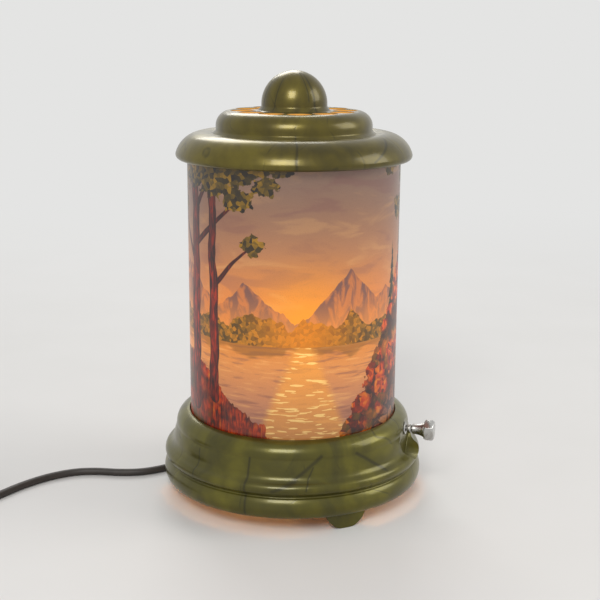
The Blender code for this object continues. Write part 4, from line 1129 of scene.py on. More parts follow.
    def left_bank(self, sheet: Sheet, colour: Field) -> Field:
        """The near bank on the left: a grassy red-brown rise with low shrubs."""
        pad, where, angle = sheet.pad, sheet.where, sheet.angle
        rise = pad.line(angle, (-64.0, 104.0), (4.0, 44.0)) + pad.line(angle, (-154.0, -76.0), (-104.0, 0.0))
        rise = rise + pad.noise(where, 0.07, 3.0, tall=0.3) * 18.0 - 9.0
        blade = pad.noise(where, 0.46, 3.0, 1.0, tall=0.2)
        clump = pad.cells(pad.stretched(where, 1.0, 1.0, 1.4), 0.09)
        tone = blade * 0.7 + pad.noise(where, 0.24, 3.0) * 0.3
        stops = (0.30, (62, 34, 38)), (0.45, (140, 58, 38)), (0.56, (196, 88, 42)), (0.70, (204, 150, 66))
        ground = pad.layers(
            pad.ramp(tone, *stops),
            ((96, 92, 44), pad.smooth(pad.noise(where, 0.045, 2.0), 0.5, 0.62) * 0.75),
            ((52, 30, 38), pad.smooth(clump, 0.42, 0.85) * 0.7),
        )
        inside = pad.smooth(rise + blade * 8.0 + (0.5 - clump) * 9.0 - sheet.z, 4.0, 4.8)
        return pad.over(colour, ground, inside)

    def trees(self, sheet: Sheet, colour: Field) -> Field:
        """Upright trunks with their boughs, red-brown in the light and purple in the shade."""
        pad, where = sheet.pad, sheet.where
        limbs = (
            (-64, 70, -62, 236, 6.6, 4.6), (-45, 78, -47, 236, 4.6, 3.0), (-96, 74, -94, 236, 5.6, 4.0),
            (-126, 72, -124, 236, 4.6, 3.4), (-63, 160, -84, 196, 2.2, 1.0), (-63, 172, -30, 204, 2.4, 0.9),
            (-46, 150, -22, 176, 1.8, 0.7), (-33, 200, -16, 214, 1.0, 0.5), (-95, 150, -112, 186, 2.0, 0.9),
            (-62, 196, -40, 226, 1.8, 0.9), (96, 100, 94, 236, 4.4, 3.0), (95, 160, 76, 192, 1.6, 0.7),
            (124, 96, 128, 236, 5.0, 3.6), (127, 168, 146, 204, 1.8, 0.8),
        )
        lean = pad.noise(pad.stretched(where, 0.4, 0.4, 1.0), 0.035, 2.0) * 8.0 - 4.0
        limb = sheet.nearest(self.groups.limb, LIMB_KEYS, limbs, lean)
        streak = pad.noise(where, 0.42, 3.0, 0.8, tall=0.22)
        bark = pad.over(
            pad.ramp(streak, (0.32, (56, 32, 42)), (0.5, (112, 48, 46)), (0.68, (176, 74, 52))),
            (52, 32, 44),
            pad.smooth(limb, -2.2, -0.4) * 0.6,
        )
        return pad.over(colour, bark, pad.smooth(limb, 0.3, -0.3))

    def leaves(self, sheet: Sheet, colour: Field) -> Field:
        """Clumps of foliage along the top, with leafy edges and sunlit patches."""
        pad, where = sheet.pad, sheet.where
        clumps = (
            (-88, 214, 20, 15), (-66, 222, 26, 13), (-44, 218, 20, 15), (-26, 224, 18, 10),
            (-84, 196, 11, 9), (-30, 205, 12, 8), (-14, 214, 9, 6), (-21, 178, 9, 7),
            (-112, 206, 22, 16), (-132, 216, 20, 16), (-8, 226, 12, 6), (76, 196, 11, 8),
            (92, 218, 22, 13), (120, 222, 24, 14), (146, 208, 16, 11), (60, 225, 12, 7),
        )
        leaf = pad.noise(where, 0.24, 3.0)
        edge = sheet.nearest(self.groups.clump, CLUMP_KEYS, clumps) + leaf * 1.5 - 0.75
        stops = (0.22, (54, 46, 40)), (0.42, (92, 84, 42)), (0.60, (140, 124, 48)), (0.80, (196, 168, 64))
        green = pad.ramp(pad.lots(where, 0.36) * 0.6 + leaf * 0.4, *stops)
        return pad.over(colour, green, pad.smooth(edge, 0.93, 0.88))


@dataclass(frozen=True)
class RotorPrint(Skin):
    """The rotor film's print: slanted clear and amber rays."""

    def surface(self, pad: Pad, where: Field) -> Surface:
        """Draws the rays and a band of ripples, and a painted glow for the light behind them."""
        x, y, z = pad.parts(where)
        turn = pad.math("ARCTAN2", y, x)
        wave = pad.math("SINE", turn * 12.0 + z * 0.09 + pad.noise(where, 0.05, 2.0) * 2.4)
        colour = pad.over((196, 128, 46), (246, 214, 140), pad.smooth(wave, -0.3, 0.35))
        ripple = pad.smooth(pad.math("SINE", z * 1.1 + pad.math("SINE", turn * 9.0) * 2.2), 0.2, 0.6)
        band = pad.smooth(pad.size(z - 96.0), 12.0, 10.0)
        colour = pad.over(colour, pad.over((92, 48, 26), (250, 226, 160), ripple), band * 0.8)
        # painted glow: the film emits warm light, strongest by the bulb, in place of light shining through it
        lit = pad.use(self.groups.lamplight, Where=where, Reach=70.0)
        warm = pad.over((120, 92, 70), (255, 220, 160), lit)
        values = {
            "Base Color": colour,
            "Emission Color": pad.over(colour, warm, 1.0, "MULTIPLY"),
            "Emission Strength": 0.6,
            "Roughness": 0.3 + 0.2 * pad.noise(where, 0.2, 3.0),
        }
        return values, pad.noise(where, 0.04, 2.0), 0.2


class Finishes:
    """Every finish of the lamp, each made once."""

    def __init__(self, groups: Groups) -> None:
        """Builds the materials from the shared groups."""
        base_welds = (
            (-19.5, 10.0, -19.5, 46.0, 0.6),
            (13.1, 48.0, 1.0, 34.0, 0.9),
            (1.0, 34.0, -8.0, 28.5, 0.8),
            (9.5, 41.5, 6.0, 29.0, 0.4),
            (31.0, 47.0, 46.0, 33.0, 0.8),
            (-48.0, 44.0, -47.0, 28.0, 0.4),
            (150.0, 12.0, 152.0, 47.0, 0.5),
            (-118.0, 30.0, -96.0, 47.0, 0.6),
        )
        lid_welds = (
            (1.5, 224.0, 1.5, 242.0, 0.5),
            (-64.0, 256.0, -58.0, 280.0, 1.5),
            (38.0, 256.0, 32.0, 280.0, 2.0),
            (26.0, 262.0, 22.0, 280.0, 1.0),
            (-36.0, 256.0, -30.0, 274.0, 0.8),
            (40.0, 228.0, 58.0, 240.0, 0.5),
            (-140.0, 226.0, -136.0, 244.0, 0.5),
            (120.0, 226.0, 100.0, 243.0, 0.5),
        )
        lines = [tuple(WeldLine(*row) for row in rows) for rows in (base_welds, lid_welds)]
        self.base = PearlPlastic("pearl_plastic_base", groups, lines[0], 84.0).make()
        brown = {"deep": (64, 56, 10), "body": (81, 71, 13), "pearl": (102, 91, 23)}
        self.lid = PearlPlastic("pearl_plastic_lid", groups, lines[1], 70.0, lit_vents=True, **brown).make()
        self.picture = LakePrint("lake_print", groups).make()
        self.rotor = RotorPrint("rotor_print", groups).make()
        steel = ((196, 196, 194), (120, 112, 100))
        self.chrome = Metal("plated_knob", groups, *steel, Shine.PLATED).make()
        self.steel = Metal("plated_sheet", groups, *steel, Shine.DULL).make()
        self.brass = Metal("brass", groups, (206, 168, 96), (120, 84, 44), Shine.SPUN).make()
        self.aluminium = Metal("spun_aluminium", groups, (204, 204, 202), (176, 173, 167), Shine.DULL).make()
        self.bakelite = MouldedDark("bakelite", groups, (34, 24, 20), (58, 40, 32), 0.32, 0.3).make()
        self.fibre = MouldedDark("fibre_board", groups, (86, 60, 42), (122, 90, 62), 0.8, 1.2).make()
        self.rubber = MouldedDark("cord_rubber", groups, (25, 20, 18), (42, 34, 31), 0.46, 0.5).make()
        self.glass = FrostedGlass("frosted_glass", groups).make()


@dataclass
class Builder:
    """Turns meshes into pieces that ride on the right body."""

    finishes: Finishes
    ring: RingTree

    def keep(self, obj: Piece, body: str, slot: str, *nodes: str) -> Piece:
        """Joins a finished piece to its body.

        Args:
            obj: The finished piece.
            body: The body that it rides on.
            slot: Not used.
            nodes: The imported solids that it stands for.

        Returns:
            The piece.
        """
        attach(obj, body)
        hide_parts(*nodes)
        LOG.info("%s: %d faces on %s", obj.name, len(obj.data.polygons), body)
        return obj


@dataclass
class BaseMoulding:
    """The bell-shaped base with its feet, bosses and the flat recess round the switch stem."""

    build: Builder
    steps: int = 240
    top: float = 56.4
    bottom: float = 10.2
    lip_bore: float = 69.5
    ledge: float = 50.0
    ledge_inner: float = 66.6
    skirt_inner: float = 82.6
    recess_radius: float = 20.0
    foot_radius: float = 14.0
    foot_face: float = 82.0
    foot_thick: float = 3.2
    foot_centre: float = 13.2
    boss_radius: float = 4.4
    pilot_radius: float = 1.8
    hole_radius: float = 3.5

    def outline(self) -> Outline:
        """The section, from the lip down the outside and back up the inside."""
        lip, shoulder, waist = (70.6, self.top), (78.5, 46.0), (80.5, 38.2)
        bead_top, bead_low = (84.3, 32.4), (85.0, 25.4)
        skirt_top, skirt_low = (84.9, 22.9), (85.6, 10.9)
        outer = [lip] + arc(lip, shoulder, 2.6, 14) + arc(shoulder, waist, 0.12, 4)
        outer += arc(waist, bead_top, -1.0, 8) + arc(bead_top, bead_low, 1.9, 12)
        outer += [(83.9, 24.4), (83.9, 23.5), skirt_top] + arc(skirt_top, skirt_low, 1.9, 10)
        inner = [(84.9, self.bottom), (self.skirt_inner, self.bottom), (self.skirt_inner, 19.0)]
        inner += [(81.2, 22.6), (81.2, 28.8), (77.2, 40.4), (73.8, 47.2), (self.ledge_inner, 47.2)]
        inner += [(self.ledge_inner, self.ledge), (self.lip_bore, self.ledge), (self.lip_bore, self.top)]
        return eased(outer + inner, 0.45)

    def make(self) -> list[Piece]:
        """Builds, cuts and dresses the moulding."""
        plastic, out = self.build.finishes.base, outward(SWITCH_ANGLE, SWITCH_HEIGHT)
        shell = add_piece("base_moulding", spun(self.outline(), self.steps), plastic)
        backing = rod(self.recess_radius + SEAT_WALL, SEAT - SEAT_WALL, SEAT + 11, 120, out)
        backing = add_piece("backing", backing, plastic)
        bell = [(73.0, 53.0), (76.0, 49.0), (79.0, 42.0), (82.6, 28.0), (82.6, 20.5)]
        combine(backing, "INTERSECT", spun(bell + [(60.0, 20.5), (60.0, 53.0)], self.steps))
        bosses = self.three("bosses", rod(self.boss_radius, 25.5, 48.2, 40, stand(0, BOSS_RING), 0.3))
        combine(shell, "UNION", backing, self.feet(), bosses)
        pilots = self.three("pilots", rod(self.pilot_radius, 20.0, 40.0, 16, stand(0, BOSS_RING)))
        recess = rod(self.recess_radius, SEAT, 104.0, 120, out, 0.5)
        combine(shell, "DIFFERENCE", recess, rod(self.hole_radius, 60.0, 100.0, place=out), pilots)
        return [self.build.keep(shell, "root", "moulded_plastic", "base_shell")]

    def three(self, name: str, bm: Mesh) -> Piece:
        """A shape at each of the bracket's screws."""
        return self.build.ring.repeat(add_piece(name, bm, self.build.finishes.base), 3, BOSS_START)

    def feet(self) -> Piece:
        """The three tab feet behind the skirt, each with its web."""
        r, face, back = self.foot_radius, self.foot_face, self.foot_face - self.foot_thick
        outline = eased([(0.0, face), (r, face), (r, back), (0.0, back)], 0.6)
        foot = spun(outline, 96, outward(0.0, self.foot_centre))
        foot = add_piece("feet", foot, self.build.finishes.base)
        combine(foot, "INTERSECT", slab(60, 95, 20, 0.0, 30.0))
        combine(foot, "UNION", slab(79.0, 83.2, 10, 11.4, 22.0))
        return self.build.ring.repeat(foot, 3, 30.0)


@dataclass
class LidMoulding:
    """The one-piece lid: brim, rounded tier, vented deck and dome."""

    build: Builder
    steps: int = 240
    height: float = 280.0
    deck: float = 254.6
    dome_radius: float = 21.2
    wall: float = 2.4
    vent_radius: float = 7.9
    brim_low: float = 224.0
    seat: float = 231.3

    def outline(self) -> Outline:
        """The section, down the outside from the crown and back up inside."""
        dome_z, hollow = self.height - self.dome_radius, self.dome_radius - self.wall
        low, under = self.brim_low, self.deck - self.wall

        def bow(radius: float, turns: Sequence[float]) -> Outline:
            """Points of the dome at angles from the level."""
            return [(radius * math.cos(a), dome_z + radius * math.sin(a)) for a in map(math.radians, turns)]

        outer = [(0.0, self.height)] + bow(self.dome_radius, [90 - 4.5 * i for i in range(1, 21)])
        edge, side, start, rim = (41.6, self.deck), (50.5, 245.0), (52.8, 240.0), (76.3, 228.0)
        outer += [(self.dome_radius, 257.4), (23.2, self.deck), edge] + arc(edge, side, 2.6, 12)
        outer += [(50.5, 242.2), start] + arc(start, rim, 5.7, 28) + arc(rim, (73.4, low), 1.2, 8)
        inner = [(69.9, low), (69.9, self.seat), (67.7, self.seat), (67.7, 227.6), (65.9, 227.6)]
        inner += [(65.9, 235.8), (54.0, 237.6), (48.1, 239.9), (48.1, 245.0), (46.2, 249.6)]
        inner += [(41.0, under), (19.6, under)] + bow(hollow, range(0, 90, 10))
        return eased(outer + inner + [(0.0, dome_z + hollow)], 0.7)

    def make(self) -> list[Piece]:
        """Builds the lid and cuts its vents."""
        plastic, r, deck = self.build.finishes.lid, self.vent_radius, self.deck
        lid = add_piece("lid_moulding", spun(self.outline(), self.steps), plastic)
        mouth = [(0.0, deck + 2), (r + 1.2, deck + 2), (r + 1.2, deck + 0.8), (r + 0.3, deck - 0.1)]
        mouth += [(r, deck - 0.5), (r, deck - 9), (0.0, deck - 9)]
        cutter = add_piece("vents", spun(mouth, 48, stand(0, VENT_RING)), plastic)
        combine(lid, "DIFFERENCE", self.build.ring.repeat(cutter, VENTS, VENT_START))
        return [self.build.keep(lid, "lid", "moulded_plastic", "lid")]


@dataclass
class Sleeve:
    """The printed outer cylinder and the strip that joins its ends."""

    build: Builder
    radius: float = 69.0
    wall: float = 0.8
    low: float = 50.3
    high: float = 231.0
    steps: int = 224
    seam_angle: float = 90.0
    seam_width: float = 10.0

    def make(self) -> list[Piece]:
        """Builds both pieces."""
        finish, inner = self.build.finishes.picture, self.radius - self.wall
        outline = [(self.radius, self.high - (self.high - self.low) * i / 24) for i in range(25)]
        outline += [(inner, self.low), (inner, self.high)]
        picture = add_piece("picture_cylinder", spun(outline, self.steps), finish)
        strip = add_piece("joint_strip", self.strip(inner), finish)
        pairs = (picture, "picture_sleeve"), (strip, "sleeve_seam")
        return [self.build.keep(piece, "sleeve", "printed_acetate", node) for piece, node in pairs]

    def strip(self, inner: float) -> Mesh:
        """The curved strip inside the joint."""
        outer, thick, count, foot, head = inner - 0.2, 0.5, 16, self.low + 1.7, self.high - 5
        section = ((outer - thick, foot), (outer, foot), (outer, head), (outer - thick, head))
        turns = [self.seam_angle + self.seam_width * (i / count - 0.5) for i in range(count + 1)]
        return skinned([[polar(a, r, z) for r, z in section] for a in turns])


@dataclass
class Rotor:
    """The turning film under its vane wheel, with rivets, hoop and bearing cup."""

    build: Builder
    film_radius: float = 60.4
    film_wall: float = 0.6
    film_low: float = 76.0
    wheel: float = 222.0
    sheet: float = 0.6
    hub: float = 16.0
    rim_out: float = 59.4
    rim_in: float = 52.0
    flange_low: float = 213.0
    blades: int = 12
    pitch: float = 27.0
    rivets: int = 6
    rivet_height: float = 217.5
    needle_tip: float = 227.0

    def make(self) -> list[Piece]:
        """Builds the rotor's pieces."""
        finishes, inner = self.build.finishes, self.film_radius - self.film_wall
        film = spun(pipe(self.film_radius, inner, self.film_low, self.wheel), 192)
        film = combine(add_piece("ray_film", film, finishes.rotor), "DIFFERENCE", self.rivet_holes())
        path = [polar(k * 3.0, inner - 1.1, self.film_low + 2.0) for k in range(120)]
        hoop = add_piece("lower_hoop", tube(path, 0.7, 10, closed=True), finishes.steel)
        rivets = [f"film_rivet_{i + 1}" for i in range(self.rivets)]
        rows = (
            (self.wheel_piece(), "aluminium", "vane_wheel"),
            (film, "rotor_film", "animation_film"),
            (self.rivet_ring(), "brass", *rivets),
            (hoop, "plated_steel", "film_hoop"),
            (self.cup(), "brass", "pivot_cup"),
        )
        return [self.build.keep(piece, "rotor", *rest) for piece, *rest in rows]

    def riveted(self, name: str, bm: Mesh) -> Piece:
        """A shape at each rivet, laid along the rivet's own axis."""
        bm.transform(outward(0.0, self.rivet_height))
        return self.build.ring.repeat(add_piece(name, bm, self.build.finishes.brass), self.rivets, 0.0)

    def rivet_holes(self) -> Piece:
        """Cutters for the rivet holes."""
        return self.riveted("holes", rod(1.15, 55.0, 64.0, 16))

    def rivet_ring(self) -> Piece:
        """The rivets that hold the film to the wheel's flange."""
        out, into, head = self.film_radius + 0.1, self.rim_out - self.sheet - 0.25, 2.1
        outline = [(0.0, out + 0.95), (head * 0.55, out + 0.85), (head * 0.9, out + 0.45), (head, out)]
        outline += [(1.0, out), (1.0, into), (head, into), (head * 0.8, into - 0.55), (0.0, into - 0.6)]
        return self.riveted("film_rivets", spun(outline, 20))

    def wheel_piece(self) -> Piece:
        """The sheet wheel: hub, flanged rim and pitched blades."""
        low, top, inside = self.wheel, self.wheel + self.sheet, self.rim_out - self.sheet
        hub = spun(eased(pipe(self.hub, 3.1, low, top), 0.15, 2), 96)
        wheel = add_piece("vane_disc", hub, self.build.finishes.aluminium)
        rim = [(self.rim_out, top), (self.rim_out, self.flange_low), (inside, self.flange_low)]
        rim += [(inside, low), (self.rim_in, low), (self.rim_in, top)]
        combine(wheel, "UNION", spun(rim, 192), self.blade_ring())
        return combine(wheel, "DIFFERENCE", self.rivet_holes())

    def blade_ring(self) -> Piece:
        """The pitched blades, each a little wider towards the rim."""
        inner, outer, half, count, rows = self.hub - 1.5, self.rim_in + 2.0, self.sheet / 2, 12, []
        for share in (i / count for i in range(count + 1)):
            x, y = inner + (outer - inner) * share, 2.3 + 5.2 * share
            rows.append([Vector(p) for p in ((x, -y, -half), (x, y, -half), (x, y, half), (x, -y, half))])
        bm = skinned(rows)
        tilt = Matrix.Rotation(math.radians(self.pitch), 4, "X")
        bm.transform(Matrix.Translation((0, 0, self.wheel + half)) @ tilt)
        blades = add_piece("blades", bm, self.build.finishes.aluminium)
        return self.build.ring.repeat(blades, self.blades, 0.0)

    def cup(self) -> Piece:
        """The brass cup that rests on the needle."""
        seat = self.wheel + self.sheet + 0.3
        outline = [(0.0, 231.0), (2.0, 230.7), (3.0, 229.9), (3.4, 229.0), (3.4, seat + 1.2)]
        outline += [(6.2, seat + 1.0), (6.4, seat + 0.7), (6.4, seat), (2.8, seat), (2.8, 219.0)]
        outline += [(2.1, 219.0), (1.9, 224.0), (0.0, self.needle_tip + 0.3)]
        return add_piece("bearing_cup", spun(outline, 40), self.build.finishes.brass)


@dataclass
class SocketAndBulb:
    """The bracket, lamp holder, bulb, wire bail and needle on the lamp's axis."""

    build: Builder
    bracket_low: float = 24.0
    spider: float = 35.0
    arm_width: float = 13.0
    bail_angle: float = 46.0
    bail_foot: float = 29.0
    crown: float = 208.0
    spring: float = 185.0
    shell_radius: float = 17.8
    bulb_radius: float = 24.0
    bulb_top: float = 140.0
    ear_at: float = 44.0
    ear_height: float = 12.0
    ear_tilt: float = 12.0

    def ear(self) -> Matrix:
        """Local +Z follows the cord's way out through the ear."""
        turn = Matrix.Rotation(math.radians(EAR_ANGLE), 4, "Z")
        tilt = Matrix.Rotation(math.radians(90 + self.ear_tilt), 4, "Y")
        return turn @ Matrix.Translation((self.ear_at, 0, self.ear_height)) @ tilt

    def make(self) -> list[Piece]:
        """Builds every piece on the axis that stays with the base."""
        f, keep = self.build.finishes, self.build.keep
        made = [keep(self.bracket(), "root", "plated_steel", "spider_bracket")]
        screws = [f"bracket_screw_{i}" for i in (1, 2, 3)]
        made.append(keep(self.bracket_screws(), "root", "plated_steel", *screws))
        slots = {"brass": f.brass, "fibre_board": f.fibre, "bakelite": f.bakelite}
        slots |= {"frosted_glass": f.glass, "plated_steel": f.chrome}
        for name, node, outline, slot in self.turned_parts():
            piece = self.bored(add_piece(name, spun(outline, 72), slots[slot]))
            made.append(keep(piece, "root", slot, node))
        return made + self.nuts() + self.wires()

    def bored(self, piece: Piece) -> Piece:
        """Cuts the switch stem's way through the holder, and the bail's and needle's into the ferrule.

        Args:
            piece: A turned piece.

        Returns:
            The piece, with its bores if it has any.
        """
        stem, bail = outward(SWITCH_ANGLE, SWITCH_HEIGHT), outward(self.bail_angle, self.crown)
        ways = {
            "holder_shell": [(2.8, 8.0, 30.0, 32, stem)],
            "holder_liner": [(2.6, 8.0, 30.0, 32, stem)],
            "holder_body": [(3.9, 3.0, 30.0, 32, stem)],
            "crimped_ferrule": [(1.6, -9.0, 9.0, 32, bail), (1.3, 211.0, 220.0)],
        }
        tools = [rod(*way) for way in ways.get(piece.name, [])]
        return combine(piece, "DIFFERENCE", *tools) if tools else piece

    def bracket(self) -> Piece:
        """The stamped disc with three arms and the ear bent down for the cord."""
        steel, low, high = self.build.finishes.steel, self.bracket_low, self.bracket_low + BRACKET_THICK
        half, reach, root, thick = self.arm_width / 2, BOSS_RING + 5.0, self.spider - 6, BRACKET_THICK / 2
        disc = add_piece("bracket", bevelled(plate(circle(self.spider, 96), low, high), 0.2), steel)
        nose = [(reach, half - 3), (reach, -half + 3), (reach - 3, -half)]
        nose += [(root, -half), (root, half), (reach - 3, half)]
        arms = add_piece("arms", bevelled(plate(nose, low, high), 0.2), steel)
        flap = [(-14.45, -half), (4.0, -half), (6.05, -half + 3)]
        flap += [(6.05, half - 3), (4.0, half), (-14.45, half)]
        ear = bevelled(plate(flap, -thick, thick, self.ear()), 0.2)
        combine(disc, "UNION", self.build.ring.repeat(arms, 3, BOSS_START), ear)
        holes = [(0.0, 0.0, 5.1)] + [(BOSS_START + 120 * i, BOSS_RING, 1.7) for i in range(3)]
        holes += [(self.bail_angle + turn, self.bail_foot, 1.5) for turn in (0, 180)]
        tools = [plate(circle(r, 32, polar(angle, away)[:2]), low - 4, high + 4) for angle, away, r in holes]
        return combine(disc, "DIFFERENCE", *tools, plate(circle(4.2, 40), -5, 5, self.ear()))

    def bracket_screws(self) -> Piece:
        """Three round-headed slotted screws up into the bosses."""
        under, tip = self.bracket_low - 0.3, 36.0
        head = under - 2.0
        outline = [(0.0, tip), (0.5, tip), (1.4, 34.5)]
        for z in (34.0 - k * 0.7 for k in range(14)):
            outline += [(1.4, z), (1.15, z - 0.35)]
        outline += [(1.4, under), (3.4, under), (3.4, head + 0.9), (3.0, head + 0.4)]
        outline += [(2.2, head + 0.1), (0.0, head)]
        screw = add_piece("bracket_screws", spun(outline, 32, stand(0, BOSS_RING)), self.build.finishes.steel)
        combine(screw, "DIFFERENCE", slab(BOSS_RING - 5, BOSS_RING + 5, 0.4, head - 1, head + 0.7))
        return self.build.ring.repeat(screw, 3, BOSS_START)

    def turned_parts(self) -> list[tuple[str, str, Outline, str]]:
        """Name, solid, section and finish slot of each turned part."""
        r = self.shell_radius
        wave = [math.cos(i * math.pi / 2) for i in range(17)]
        cap = [(r - 1.0, 42.5), (r - 1.0, 36.0)] + arc((r - 1.0, 36.0), (9.5, 26.3), 2.6, 10)
        cap += [(8.6, 25.5), (5.1, 25.5), (5.1, 26.2), (8.4, 26.2)]
        cap += arc((8.4, 26.2), (r - 1.7, 36.0), -2.6, 10) + [(r - 1.7, 42.5)]
        shell = [(r, 71.0), (r + 0.5, 70.7), (r + 0.7, 70.2), (r + 0.5, 69.7), (r, 69.4), (r, 50.0)]
        shell += [(r + 0.5, 49.0), (r + 0.5, 39.0), (r - 0.1, 39.0), (r - 0.5, 49.4), (r - 0.6, 71.0)]
        body = [(0.0, 57.0), (15.0, 57.0), (15.6, 56.4), (15.6, 43.4), (14.1, 41.0), (0.0, 41.0)]
        outer = [(14.2 + 0.175 * (1 - wave[i]), 69.5 - 12.2 * i / 16) for i in range(17)]
        tongue = [(0.0, 59.2), (2.2, 59.0), (3.6, 58.0), (3.6, 57.3), (0.0, 57.3)]
        nipple = [(4.8 - 0.2 * (k % 2), 33.0 - k * 0.4) for k in range(37)]
        nipple += [(4.3, 17.9), (3.1, 17.9), (3.1, 33.0)]
        cap_side = [(0.0, 84.0), (13.0, 84.0), (13.0, 76.0)]
        cap_side += [(12.8 - 0.2 * wave[i], 76.0 - 12.0 * i / 16) for i in range(1, 17)]
        cap_side += [(9.5, 61.6), (4.2, 60.6), (3.2, 59.6), (0.0, 59.6)]
        stem = [(0.0, 112.0), (1.4, 111.9), (2.0, 111.2), (2.4, 96.0), (3.6, 91.0), (6.5, 88.0)]
        stem += [(7.5, 84.3), (0.0, 84.3)]
        ferrule = [(0.0, 214.0), (2.2, 214.0), (3.4, 212.8), (3.4, 204.6), (2.8, 204.0), (0.0, 204.0)]
        needle = [(0.0, 227.0), (0.12, 226.95), (1.0, 222.5), (1.0, 211.3), (0.0, 211.3)]
        return [
            ("holder_cap", "socket_cap", cap, "brass"),
            ("holder_shell", "socket_shell", shell, "brass"),
            ("holder_liner", "socket_liner", pipe(16.9, 16.0, 43.0, 70.0), "fibre_board"),
            ("holder_body", "socket_body", body, "bakelite"),
            ("thread_shell", "screw_shell", outer + [(x - 0.5, z) for x, z in outer[::-1]], "brass"),
            ("contact_tongue", "centre_contact", tongue, "brass"),
            ("threaded_nipple", "socket_nipple", nipple, "brass"),
            ("bulb_screw_cap", "bulb_cap", cap_side, "brass"),
            ("bulb_mount", "bulb_stem", stem, "frosted_glass"),
            ("bulb_envelope", "bulb_glass", self.envelope(), "frosted_glass"),
            ("crimped_ferrule", "pivot_ferrule", ferrule, "brass"),
            ("needle", "pivot_needle", needle, "plated_steel"),
        ]

    def envelope(self) -> Outline:
        """The bulb's glass: down its outer face to the open neck and back up inside to the crown."""
        centre = self.bulb_top - self.bulb_radius

        def side(shrink: float) -> Outline:
            """One face of the glass, from the crown to the neck."""
            r = self.bulb_radius - shrink
            turns = (math.radians(90 - 6 * i) for i in range(1, 18))
            points = [(0.0, centre + r)] + [(r * math.cos(a), centre + r * math.sin(a)) for a in turns]
            points += arc(points[-1], (14.4 - shrink, 93.0), -0.6, 6)
            return points + [(13.2 - shrink, 88.0), (12.7 - shrink, 84.3)]

        return side(0.0) + side(0.9)[::-1]

    def nuts(self) -> list[Piece]:
        """The hexagon nuts on the nipple and on the bail's ends, and the terminal screws."""
        f, keep = self.build.finishes, self.build.keep
        big = add_piece("nipple_nut_hex", self.hexagon(15.0, 5.1, 20.0, 23.7), f.steel)
        made = [keep(big, "root", "plated_steel", "nipple_nut")]
        for k, (turn, low) in enumerate(((0, 25.5), (0, 21.4), (180, 25.5), (180, 21.4)), 1):
            nut = self.hexagon(6.0, 1.5, 0.0, 2.3)
            nut.transform(stand(self.bail_angle + turn, self.bail_foot, low))
            nut = add_piece(f"bail_hex_{k}", nut, f.steel)
            made.append(keep(nut, "root", "plated_steel", f"bail_nut_{k}"))
        outline = [(0.0, 40.7), (2.6, 40.7), (2.6, 39.2), (1.8, 38.6), (0.0, 38.6)]
        screw = add_piece("terminal_screws", spun(outline, 24, stand(0, 9.0)), f.brass)
        screws = self.build.ring.repeat(screw, 2, self.bail_angle)
        return made + [keep(screws, "root", "brass", "terminal_screw_1", "terminal_screw_2")]

    def hexagon(self, across: float, bore: float, low: float, high: float) -> Mesh:
        """A hexagon nut with chamfered corners and a round bore.

        Args:
            across: Its width across the flats.
            bore: The bore's radius.
            low: Height of its under side.
            high: Height of its upper side.

        Returns:
            The nut as a bmesh in millimetres, upright on the axis.
        """
        nut = bevelled(plate(circle(across / 2 / math.cos(math.pi / 6), 6), low, high), 0.25)
        nut = add_piece("nut", nut, self.build.finishes.steel)
        combine(nut, "DIFFERENCE", plate(circle(bore, 32), low - 1, high + 1))
        bm = bmesh.new()
        bm.from_mesh(nut.data)
        bm.transform(Matrix.Diagonal((1 / MM, 1 / MM, 1 / MM, 1.0)))
        bpy.data.objects.remove(nut)
        return bm

    def wires(self) -> list[Piece]:
        """The wire bail over the bulb and the bulb's filament."""
        steel, foot, spring = self.build.finishes.steel, self.bail_foot, self.spring
        half = [(foot, 19.0 + (spring - 19.0) * i / 20) for i in range(20)]
        for a in (math.pi / 2 * i / 24 for i in range(25)):
            half.append((foot * math.cos(a), spring + (self.crown - spring) * math.sin(a)))
        rise = [(-3.4, 98.0), (-6.0, 98.3), (-9.0, 100.0), (-9.0, 108.0), (-8.6, 118.0)]
        top = [(8.6 * math.sin(a), 118.0 + 3.0 * math.cos(a)) for a in map(math.radians, range(-60, 61, 10))]
        hanging = half + [(-x, z) for x, z in half[-2::-1]]
        glowing = rise + top + [(-x, z) for x, z in rise[::-1]]
        rows = (
            ("bail", hanging, 0, 1.2, 16, "plated_steel", "bail_wire"),
            ("filament_wire", glowing, 90, 0.3, 8, "tungsten", "filament"),
        )
        made = []
        for name, flat, turn, radius, sides, slot, node in rows:
            path = [polar(self.bail_angle + turn, x, z) for x, z in flat]
            wire = add_piece(name, tube(path, radius, sides), steel)
            made.append(self.build.keep(wire, "root", slot, node))
        return made


